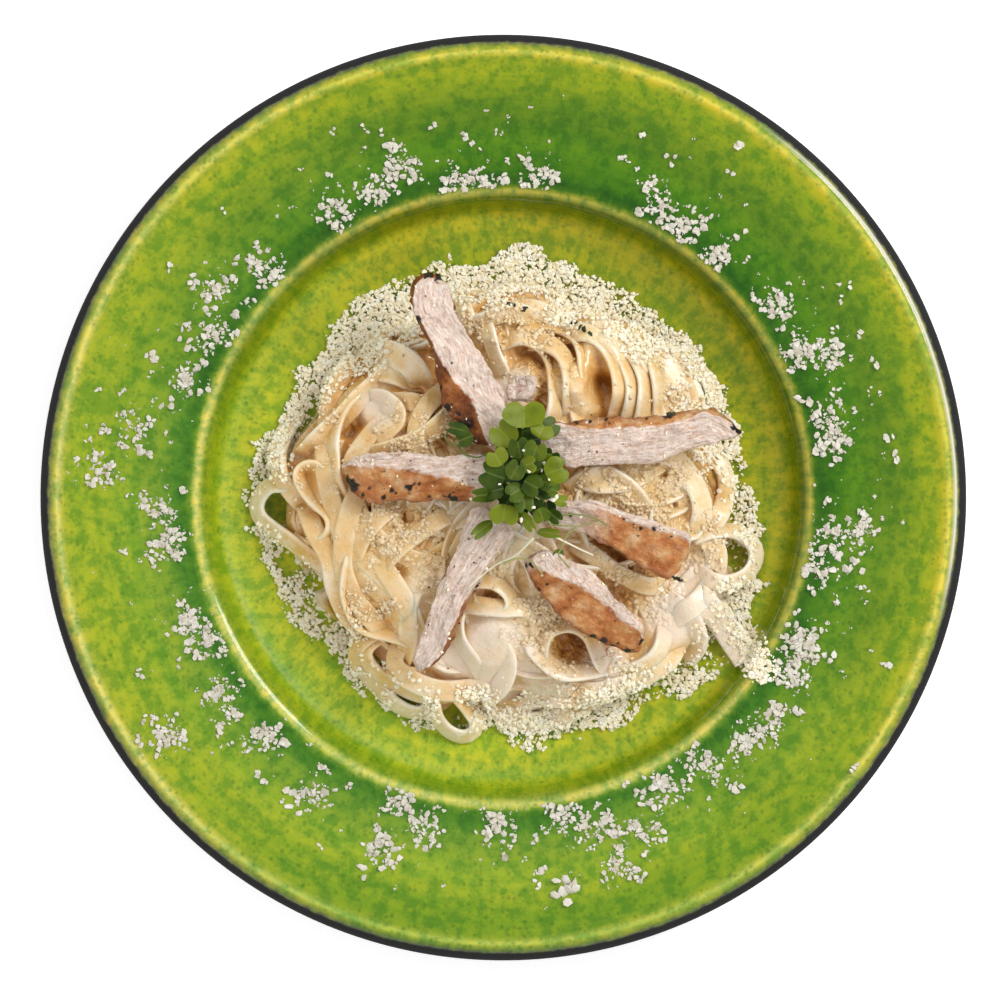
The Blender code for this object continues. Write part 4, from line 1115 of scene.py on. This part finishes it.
strips["chicken_scrap"] = {
    "grilled": ((8.4, 28.5), (10.4, 33), (9.6, 36.6)), "ridge": ((7, 29), (8.8, 33), (8, 36.6)),
    "cut": ((1.4, 29.5), (1.2, 33), (4.6, 36.8)), "thick": 8, "drop": 0.5, "browned": (5, 6), "tip": 2.0,
    "roast": 0,
    "charred": ((9.9, 33, 0.3),),
}
stripRows, stripSides = 180, 84
sectionSpans = (26, 24, 8, 18, 8)  # points on each of the section's five sides


def makeStrip(name, strip, seed):
    # A five-sided section carried along three lines: up the grilled side to the ridge, down the cut face,
    # and round below. It sags to its tip and rests on the heap. Strands, cracks and lumps move it along its
    # normal, and marks say where it is browned or charred.
    lines = []
    for label in ("grilled", "ridge", "cut"):
        line = smoothPath(strip[label], 0.2)
        lines.append(rowsBetween(line, np.linspace(0, len(line) - 1, stripRows)))
    outer, ridge, inner = lines
    run = np.linspace(0, 1, stripRows)
    full = (1 - (1 - ease(run, -0.04, 0.07)) ** 2) * np.clip(1 - ease(run, 0.95, 1.01), 0, 1) ** 0.4
    half = strip["thick"] / 2 * (0.35 + 0.65 * full)
    middle = (outer + inner) / 2
    corners = np.stack([
        np.column_stack([outer, -0.25 * half]),
        np.column_stack([ridge, half]),
        np.column_stack([inner, 0.45 * half]),
        np.column_stack([middle + (inner - middle) * 0.86, -half]),
        np.column_stack([middle + (outer - middle) * 0.78, -half]),
    ], axis=1)
    squeeze = (0.25 + 0.75 * full)[:, None, None]
    corners[:, :, :2] = middle[:, None] + (corners[:, :, :2] - middle[:, None]) * squeeze
    sides = [corners[:, k, None] + (corners[:, (k + 1) % 5, None] - corners[:, k, None])
             * (np.arange(span) / span)[:, None] for k, span in enumerate(sectionSpans)]
    section = np.concatenate(sides, axis=1)
    for _ in range(2):  # rounds the corners a little
        section = (np.roll(section, 1, axis=1) + 2 * section + np.roll(section, -1, axis=1)) / 4
    length = np.concatenate([[0], np.cumsum(np.hypot(*np.diff(middle, axis=0).T))])
    lengthwise = np.repeat(length[:, None], stripSides, axis=1)
    across = np.linalg.norm(section[..., :2] - outer[:, None], axis=-1)
    girth = np.stack([lengthwise, across, section[..., 2] + 40 * seed], axis=-1)
    # strands 1 to 2 mm wide along the meat, cracks between them, and lumps of 6 mm
    strands = noise(girth * (0.2, 1, 1), 1.0, 40 + seed) * 0.12 + noise(girth, 0.9, 50 + seed) * 0.18
    crack = np.abs(noise(girth * (0.16, 1, 1), 2.6, 90 + seed) + 0.16 * noise(girth, 0.9, 95 + seed))
    crack = crack + 0.5 * ease(noise(girth * (0.5, 1, 1), 5.0, 97 + seed), 0.0, 0.4)
    side = np.repeat(np.arange(5), sectionSpans)
    cutFace = ease(np.convolve(np.pad((side == 1) | (side == 2), 2, mode="wrap"), np.ones(5) / 5, "valid"),
                   0.2, 0.8)
    cracks = -0.3 * (1 - ease(crack, 0.0, 0.10)) * cutFace
    lumps = noise(girth, 7.0, 60 + seed) * 0.5 + noise(girth, 2.6, 65 + seed) * 0.42
    lumps = lumps + noise(girth, 1.3, 66 + seed) * 0.28
    ahead = np.gradient(section, axis=0)
    around = np.roll(section, -1, axis=1) - np.roll(section, 1, axis=1)
    normal = np.cross(ahead, around)
    normal = normal / np.maximum(np.linalg.norm(normal, axis=-1, keepdims=True), 1e-9)
    outwards = np.sign((normal * (section - section.mean(axis=1, keepdims=True))).sum(axis=-1).mean())
    section = section + normal * outwards * (strands + cracks + lumps)[..., None]
    px, py = section[..., 0] * mm, section[..., 1] * mm
    z = (section[..., 2] - (strip["drop"] * run**1.6)[:, None]) * mm
    z = z + np.max((heapTop(px, py) - z)[6:-6]) + 0.6 * mm
    grilledSide = np.where((side == 0) | (side == 4) | (side == 3), 1.0, -1.0)
    place = np.convolve(np.pad(grilledSide, 3, mode="wrap"), np.ones(7) / 7, "valid")
    place = place + 0.55 * noise(girth, 2.4, 70 + seed) + 0.45 * noise(girth, 0.9, 71 + seed)
    brown = ease(place, -0.15, 0.55) * ease(run, *strip["browned"])[:, None]
    brown = np.maximum(brown, ease(run + 0.02 * noise(girth, 2.0, 75 + seed)[:, 0], strip["tip"],
                                   strip["tip"] + 0.02)[:, None])
    ragged = noise(girth, 1.1, 80 + seed)
    charred = np.max([1 - ease(np.hypot(px - a * mm, py - b * mm) / (r * mm) + ragged, 0.6, 1.05)
                      for a, b, r in strip["charred"]], axis=0)
    charred = np.where(z - z.min(axis=1, keepdims=True) > 1.5 * mm, charred, 0)
    total = stripRows * stripSides
    points = np.stack([px, py, z], axis=-1)
    ends = points[[0, -1]].mean(axis=1)
    points = points.reshape(-1, 3)
    faces = poledFaces(stripRows, stripSides)
    if outwards < 0:
        faces = [group[:, ::-1] for group in faces]
    marks = {
        "brown": np.append(brown.ravel(), [1, 1]),
        "charred": np.append(charred.ravel(), [0, 0]),
        "along": np.append(lengthwise.ravel(), [0, length[-1]]),
        "across": np.append(girth[..., 1].ravel(), [0, 0]),
        "crack": np.append(crack.ravel(), [1, 1]),
        "roast": np.full(total + 2, strip["roast"]),
    }
    piece = makePiece(name.replace("chicken", "grilled_chicken"), np.concatenate([points, ends]), faces,
                      chicken, marks)
    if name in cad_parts:
        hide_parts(name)
    return points


# Grilled chicken breast: pale pinkish fibres where sliced, caramel to dark brown where it met the grill
chicken, tree, shader = newMaterial("grilledChickenBreast")
place = addNode(tree, "TexCoord", out="Object")
brown, charred, along, across, crack, roast = (
    addNode(tree, "Attribute", attribute_name=label, out="Fac")
    for label in ("brown", "charred", "along", "across", "crack", "roast"))
lift = addNode(tree, "SeparateXYZ", {0: place}, out="Z")
liftMm = addNode(tree, "Math", {0: lift, 1: 1000.0}, operation="MULTIPLY")
alongSlow = addNode(tree, "Math", {0: along, 1: 0.17}, operation="MULTIPLY")
fibrePlace = addNode(tree, "CombineXYZ", {0: alongSlow, 1: across, 2: liftMm})
# crumbly strands of about 0.8 mm across, drawn out six times as long
fibres = addNode(tree, "TexNoise", {"Vector": fibrePlace, "Scale": 1.3, "Detail": 5, "Roughness": 0.7})
blotch = addNode(tree, "TexNoise", {"Vector": place, "Scale": 170, "Detail": 5, "Roughness": 0.62})
meat = addNode(tree, "ValToRGB", {0: fibres}, stops=[
    (0.3, "#b8927a"), (0.41, "#d8bba6"), (0.52, "#ead3c3"), (0.66, "#fdf0e6")])
# paler and darker patches of 3 to 8 mm
meatPatch = addNode(tree, "MapRange", {0: blotch, 1: 0.35, 2: 0.65, 3: 0.80, 4: 1.04})
meat = addNode(tree, "Mix", {0: 1.0, 6: meat, 7: meatPatch}, data_type="RGBA", blend_type="MULTIPLY")
# painted shade: the cracks between strands are darker
crackShade = addNode(tree, "MapRange", {0: crack, 1: 0.0, 2: 0.07, 3: 0.55, 4: 0.0})
meat = addNode(tree, "Mix", {0: crackShade, 6: meat, 7: "#9a6450"}, data_type="RGBA")
roasting = addNode(tree, "Math", {0: roast, 1: -0.34, 2: blotch}, operation="MULTIPLY_ADD")
skin = addNode(tree, "ValToRGB", {0: roasting}, stops=[
    (0.10, "#5e2a0c"), (0.24, "#96521e"), (0.35, "#bc7238"), (0.47, "#d09258"), (0.60, "#e0b88a")])
# reddish brown where its juice caramelised
juice = addNode(tree, "TexNoise", {"Vector": place, "Scale": 110, "Detail": 3, "Roughness": 0.55})
juiceShare = addNode(tree, "MapRange", {0: juice, 1: 0.54, 2: 0.66, 4: 0.42})
# the grilled side is darkest along its outer, lower edge: seared more there, and painted shade
outerEdge = addNode(tree, "Math", {0: blotch, 1: 3.0, 2: across}, operation="MULTIPLY_ADD")
searedAndShaded = addNode(tree, "MapRange", {0: outerEdge, 1: 1.6, 2: 3.4, 3: 0.75, 4: 0.0})
for share, colour in ((juiceShare, "#a04a16"), (searedAndShaded, "#7c3e14")):
    skin = addNode(tree, "Mix", {0: share, 6: skin, 7: colour}, data_type="RGBA")
tone = meat
for share, colour in ((brown, skin), (charred, "#1c110b")):
    tone = addNode(tree, "Mix", {0: share, 6: tone, 7: colour}, data_type="RGBA")
gloss = addNode(tree, "MapRange", {0: brown, 3: 0.5, 4: 0.34})
# grains of 0.7 mm, as torn meat has
crumbly = addNode(tree, "TexVoronoi", {"Vector": place, "Scale": 1400})
bump = addNode(tree, "Bump", {"Height": crumbly, "Strength": 0.45, "Distance": 0.0005}, invert=True)
for relief, strength, depth in ((fibres, 0.7, 0.0010), (blotch, 0.3, 0.0008)):
    bump = addNode(tree, "Bump", {"Height": relief, "Strength": strength, "Distance": depth, "Normal": bump})
fillSockets(tree, shader, {
    "Base Color": tone, "Roughness": gloss, "IOR": 1.42, "Normal": bump, "Subsurface Weight": 0.15,
    "Subsurface Radius": (1.0, 0.4, 0.25), "Subsurface Scale": 0.002})

stripTops = [makeStrip(name, strip, i) for i, (name, strip) in enumerate(strips.items())]
for points in stripTops:
    raiseGrid(*points.T)
print("chicken laid:", len(stripTops))
rng = np.random.default_rng(17)
onStrips = np.concatenate([points[points[:, 2] > np.median(points[:, 2])] for points in stripTops[:6]])
onStrips = onStrips[rng.integers(0, len(onStrips), 130)]
scatterCrumbs("cheese_on_chicken", onStrips[:, 0], onStrips[:, 1],
              (0.3 + 1.1 * rng.uniform(0, 1, 130) ** 2.5) * mm,
              dryCheese, "cheese", 18)
# Dried herb and coarse pepper: dark green to black, dull
herb, tree, shader = newMaterial("driedHerbAndPepper")
place = addNode(tree, "TexCoord", out="Object")
herbNoise = addNode(tree, "TexNoise", {"Vector": place, "Scale": 120, "Detail": 2})
herbTone = addNode(tree, "ValToRGB", {0: herbNoise}, stops=[
    (0.35, "#120d08"), (0.5, "#1f2a0d"), (0.65, "#2f4712")])
fillSockets(tree, shader, {"Base Color": herbTone, "Roughness": 0.6})
herbPlaces = np.array((  # x, y and size in mm
    (2, 58.6, 2.2), (3.4, 58.2, 1.4), (6.2, 57.2, 2), (7.2, 57.6, 1.2), (49.8, 24.8, 2.4), (51, 25, 1.6),
    (51.3, -24, 1.4), (52.3, -24.6, 1.6), (53.3, -24.8, 1.4), (54.2, -25.2, 1.2), (21.4, 53, 2),
    (22.4, 52.3, 2.4), (23.4, 51.6, 2.6), (24.5, 50.9, 2.6), (25.5, 50.2, 2.4), (26.5, 49.6, 1.8)))
pepper = onStrips[rng.integers(0, len(onStrips), 90), :2] + rng.normal(0, 2, (90, 2)) * mm
herbX = np.append(herbPlaces[:, 0] * mm, pepper[:, 0])
herbY = np.append(herbPlaces[:, 1] * mm, pepper[:, 1])
herbSize = np.append(herbPlaces[:, 2], rng.uniform(0.3, 0.75, 90)) * mm
scatterCrumbs("herb_and_pepper", herbX, herbY, herbSize, herb, "chicken", 19, flatness=(0.2, 0.5), sink=0.1)


# Microgreens: a bunch of cress, two-lobed leaves on thin pale stems

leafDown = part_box("microgreens")[0][2]
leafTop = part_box("microgreens")[1][2]
leafGrowth = 1.16  # on the lengths and widths below
leaves = (
    # middle x, y mm; length, width mm; heading of the notch in degrees; height share 0 to 1; tone 0 to 1
    (6.2, 24.6, 8.4, 11.4, 92, 0.72, 0.75), (0.3, 18.8, 8.6, 7.6, 130, 0.66, 0.85),
    (11.4, 19.8, 5.2, 6.6, 60, 0.74, 0.9), (14, 21, 5.5, 5.5, 30, 0.5, 0.45),
    (-3, 6.8, 8.2, 8.0, 160, 0.78, 0.35), (3.5, 7.9, 6.2, 5.4, 60, 0.95, 0.5),
    (-1.8, 11.8, 5.6, 6.2, 120, 0.85, 0.9), (15.6, 8.0, 7.4, 7.4, 20, 0.88, 0.7),
    (14.8, 2.3, 4.4, 4.0, -20, 0.8, 0.6), (0.2, -5.0, 6.6, 7.8, -95, 0.7, 0.95),
    (-6.2, -9.4, 8.0, 3.4, 218, 0.45, 0.6), (-5.2, 0.8, 8.6, 4.0, 185, 0.6, 0.45),
    (7, -7, 7.2, 3.0, -55, 0.72, 0.7), (11.3, -5.2, 4.8, 4.8, -70, 0.8, 0.55),
    (15.2, -5.6, 5.4, 3.6, -40, 0.62, 0.3), (17.1, -1.0, 4.4, 3.2, -10, 0.6, 0.7),
    (13.6, -10.6, 7.6, 2.6, -6, 0.5, 0.95), (9.4, 13.6, 6.4, 6.4, 70, 0.9, 0.6),
    (4.6, 14.6, 6.6, 5.8, 100, 0.86, 0.4), (8.6, 3.6, 6.2, 6.0, -30, 0.92, 0.35),
    (3.6, 1.6, 6.0, 5.4, 210, 0.88, 0.45), (11.6, 12.0, 5.6, 5.2, 40, 0.78, 0.5),
    (-2.4, 2.2, 5.6, 5.0, 190, 0.7, 0.3), (6.2, -1.6, 5.8, 5.2, -80, 0.82, 0.5),
    (1.4, -1.2, 5.0, 4.6, -120, 0.62, 0.25), (10.8, 0.2, 5.0, 4.8, -40, 0.7, 0.3),
    (7.4, 9.8, 5.0, 4.8, 10, 0.98, 0.7), (12.2, 4.6, 5.2, 4.6, 0, 0.84, 0.4),
    (0.6, 14.6, 5.0, 4.6, 140, 0.6, 0.3), (-13.4, 20.4, 7.0, 3.6, 165, 0.3, 0.3),
    (-11.4, 17.6, 5.4, 4.4, 200, 0.34, 0.4), (16.4, -17.0, 3.2, 3.2, -50, 0.12, 0.6),
    (5.6, 18.2, 5.6, 5.0, 80, 0.6, 0.3),
    # those below, in the shade
    (2, 10, 8, 8, 10, 0.35, 0.0), (8, 12, 8, 8, 80, 0.4, 0.0), (12, 7, 8, 8, 150, 0.36, 0.05),
    (6, 4, 8, 8, 230, 0.4, 0.0), (1, 3, 8, 8, 300, 0.36, 0.05), (10, -2, 7, 7, 20, 0.38, 0.0),
    (4, -3, 7, 7, 110, 0.34, 0.05), (8, 17, 7, 7, 190, 0.4, 0.1), (3, 17, 6, 6, 260, 0.4, 0.1),
    (-2, 9, 6, 6, 330, 0.4, 0.1), (14, 12, 5, 5, 60, 0.5, 0.2), (13, -3, 5, 5, 100, 0.5, 0.2),
    (10, 8, 5.4, 5.2, 200, 0.8, 0.3), (5, 11, 5, 5, 320, 0.76, 0.25), (12, 1.5, 5, 5, 280, 0.7, 0.2),
    (0, 7, 5, 5, 220, 0.7, 0.3),
)
stems = (  # points x, y mm and height share, base first; radius mm; whiteness
    (((12, -7, 0.5), (20, -5, 0.45), (27, -6.2, 0.3), (31, -8.5, 0.12)), 0.32, 0.2),
    (((13, -8, 0.45), (22, -8.5, 0.35), (28, -7, 0.2)), 0.3, 0.3),
    (((12, -10, 0.4), (18, -13, 0.25), (23, -15.5, 0.12), (27, -17.3, 0.05)), 0.4, 0.95),
    (((22, -9, 0.3), (19, -11, 0.3), (17.5, -15, 0.2), (16.5, -17, 0.14), (18.5, -19.5, 0.05),
      (20, -21, 0.0)), 0.28, 0.4),
    (((9, -12, 0.4), (4, -17, 0.2), (-2, -20, 0.05), (-6, -23, 0.0), (-10.5, -27, -0.05)), 0.45, 0.9),
    (((0, -20, 0.1), (4, -18.3, 0.16), (8, -18.8, 0.2), (11, -22, 0.1), (12, -23.5, 0.05)), 0.3, 0.5),
    (((9, -8, 0.4), (9.2, -12, 0.3), (9.5, -16, 0.15)), 0.35, 0.7),
    (((-15, 17, 0.3), (-12, 13.5, 0.3), (-8, 12, 0.4), (-3.5, 13.5, 0.5)), 0.35, 0.1),
    (((-16.5, 20, 0.25), (-17.5, 18, 0.3), (-15, 15, 0.3)), 0.25, 0.1),
    (((6, 6, 0.2), (5, 12, 0.4), (6, 18, 0.52), (7.4, 20.6, 0.62)), 0.4, 0.4),
    (((8, 2, 0.2), (12, 5, 0.45), (14, 7, 0.7)), 0.35, 0.4),
    (((1, 4.5, 0.72), (5, 2, 0.86), (9, 0.5, 0.84), (12, -1.5, 0.7)), 0.35, 0.35),
    (((8, 0, 0.2), (11, -4, 0.4), (14, -8, 0.45), (16, -11, 0.45)), 0.35, 0.5),
)


def leafPoints(x, y, length, width, heading, share, seed):
    # A cupped disc whose edge is notched at the tip and drawn in at the stem, with a folded midrib,
    # 0.35 mm thick, closed round its edge
    rings, spokes = 8, 36
    ray = np.arange(spokes) * turn / spokes
    edge = 1 - 0.5 * np.exp(-((np.angle(np.exp(1j * ray)) / 0.34) ** 2))
    edge = edge * (1 - 0.22 * np.exp(-((np.angle(np.exp(1j * (ray - math.pi))) / 1.0) ** 2)))
    edge = edge * (1 + 0.03 * np.sin(5 * ray + seed))
    out = np.sin(np.linspace(0.06, 1, rings) * math.pi / 2)[:, None]
    u = out * edge * np.cos(ray) * length / 2
    v = out * edge * np.sin(ray) * width / 2
    dice = np.random.default_rng(500 + seed)
    cup, fold, tiltA, tiltB = dice.uniform(-0.16, 0.20), dice.uniform(0.05, 0.4), *dice.uniform(-0.6, 0.6, 2)
    w = cup * (u**2 + v**2) / 4 + fold * np.abs(v) * 0.5 + 0.22 * np.sin(u * 1.1 + seed) * out
    w = w - u * tiltA - v * tiltB
    thick = 0.34 * (1 - out**6)
    h = math.radians(heading)
    px, py = x + u * math.cos(h) - v * math.sin(h), y + u * math.sin(h) + v * math.cos(h)
    z = leafDown / mm + 4 + share * ((leafTop - leafDown) / mm - 6) + w
    upperSide = np.stack([px, py, z + thick / 2 + 0.03], axis=-1)
    lowerSide = np.stack([px, py, z - thick / 2 - 0.03], axis=-1)[::-1]
    return np.concatenate([upperSide, lowerSide]) * mm, np.abs(v)


leafSets, leafTones, leafRibs = [], [], []
for i, (x, y, length, width, heading, share, shade) in enumerate(leaves):
    points, ribs = leafPoints(x, y, leafGrowth * length, leafGrowth * width, heading, share, i)
    leafSets.append(points)
    leafTones.append(np.full(points.shape[:2], shade))
    leafRibs.append(np.concatenate([ribs, ribs[::-1]]))

# Cress leaf: thin, satin and bright green, lighter along its ribs; light comes through it
leafSkin, tree, shader = newMaterial("cressLeaf")
place = addNode(tree, "TexCoord", out="Object")
shade, rib = (addNode(tree, "Attribute", attribute_name=label, out="Fac") for label in ("shade", "rib"))
veins = addNode(tree, "TexVoronoi", {"Vector": place, "Scale": 700}, feature="DISTANCE_TO_EDGE")
leafNoise = addNode(tree, "TexNoise", {"Vector": place, "Scale": 260, "Detail": 2})
shadeMix = addNode(tree, "Math", {0: leafNoise, 1: 0.5, 2: shade}, operation="MULTIPLY_ADD")
leafTone = addNode(tree, "ValToRGB", {0: shadeMix}, stops=[
    (0.25, "#122204"), (0.5, "#2a4204"), (0.8, "#4e6008"), (1.0, "#707c10")])
ribShare = addNode(tree, "MapRange", {0: rib, 1: 0.0, 2: 0.35, 3: 0.22, 4: 0.0})
leafTone = addNode(tree, "Mix", {0: ribShare, 6: leafTone, 7: "#a9b561"}, data_type="RGBA")
veinBump = addNode(tree, "Bump", {"Height": veins, "Strength": 0.25, "Distance": 0.0003})
fillSockets(tree, shader, {
    "Base Color": leafTone, "Roughness": 0.42, "IOR": 1.42, "Specular IOR Level": 0.28, "Normal": veinBump,
    "Subsurface Weight": 0.2, "Subsurface Radius": (0.3, 1.0, 0.1), "Subsurface Scale": 0.001})
points, faces = joinRibbons(leafSets)
leafPiece = makePiece("cress_leaves", points, faces, leafSkin,
                      {"shade": np.concatenate(leafTones), "rib": np.concatenate(leafRibs)})
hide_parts("microgreens")


def stemPoints(controls, radius):
    # A round stalk along a smooth path, its end thinner than its base
    path = smoothPath(np.asarray(controls, float), 0.8)
    z = leafDown / mm + 3 + path[:, 2] * ((leafTop - leafDown) / mm - 6)
    z = np.maximum(z, heightAt(foodHeight, path[:, 0] * mm, path[:, 1] * mm) / mm + radius)
    z = slideMean(z, 1.5)
    spine = np.stack([path[:, 0], path[:, 1], z], axis=1)
    ahead = np.gradient(spine, axis=0)
    ahead = ahead / np.linalg.norm(ahead, axis=1, keepdims=True)
    right = np.cross(ahead, (0, 0, 1.0))
    right = right / np.linalg.norm(right, axis=1, keepdims=True)
    normal = np.cross(right, ahead)
    ray = np.arange(8) * turn / 8
    size = radius * np.linspace(1.0, 0.6, len(path))[:, None]
    return (spine[:, None] + right[:, None] * (size * np.cos(ray))[..., None]
            + normal[:, None] * (size * np.sin(ray))[..., None]) * mm


# Cress stalk: pale green to white, moist
stalk, tree, shader = newMaterial("cressStalk")
pale = addNode(tree, "Attribute", attribute_name="pale", out="Fac")
stalkTone = addNode(tree, "ValToRGB", {0: pale}, stops=[(0.1, "#5a6c1c"), (0.5, "#a8a860"), (1.0, "#ece4cc")])
fillSockets(tree, shader, {"Base Color": stalkTone, "Roughness": 0.4})
stalks = [stemPoints(controls, radius) for controls, radius, pale in stems]
points, faces = joinRibbons(stalks)
whiteness = [np.full(len(s) * s.shape[1], w) for s, (_, _, w) in zip(stalks, stems)]
makePiece("cress_stalks", points, faces, stalk, {"pale": np.concatenate(whiteness)})
for points in leafSets:
    raiseGrid(*np.moveaxis(points, -1, 0))
greenCrumbs = np.array((  # x, y and size in mm
    (1.8, 11.8, 2.4), (2.6, 12.4, 1.6), (7.5, 7.7, 1.6), (12, 10, 1.5), (11.5, 8, 1.4), (15, -0.5, 2.6),
    (15.8, 0.2, 1.8), (5.3, -6.8, 1.8), (9, -3, 1.2), (-1, 4, 1.2), (3, 20, 1), (9, 1.2, 1), (6, 14, 1.1),
    (13.5, 5.4, 1)))
scatterCrumbs("cheese_on_leaves", *(greenCrumbs.T * mm), dryCheese, "cheese", 20)
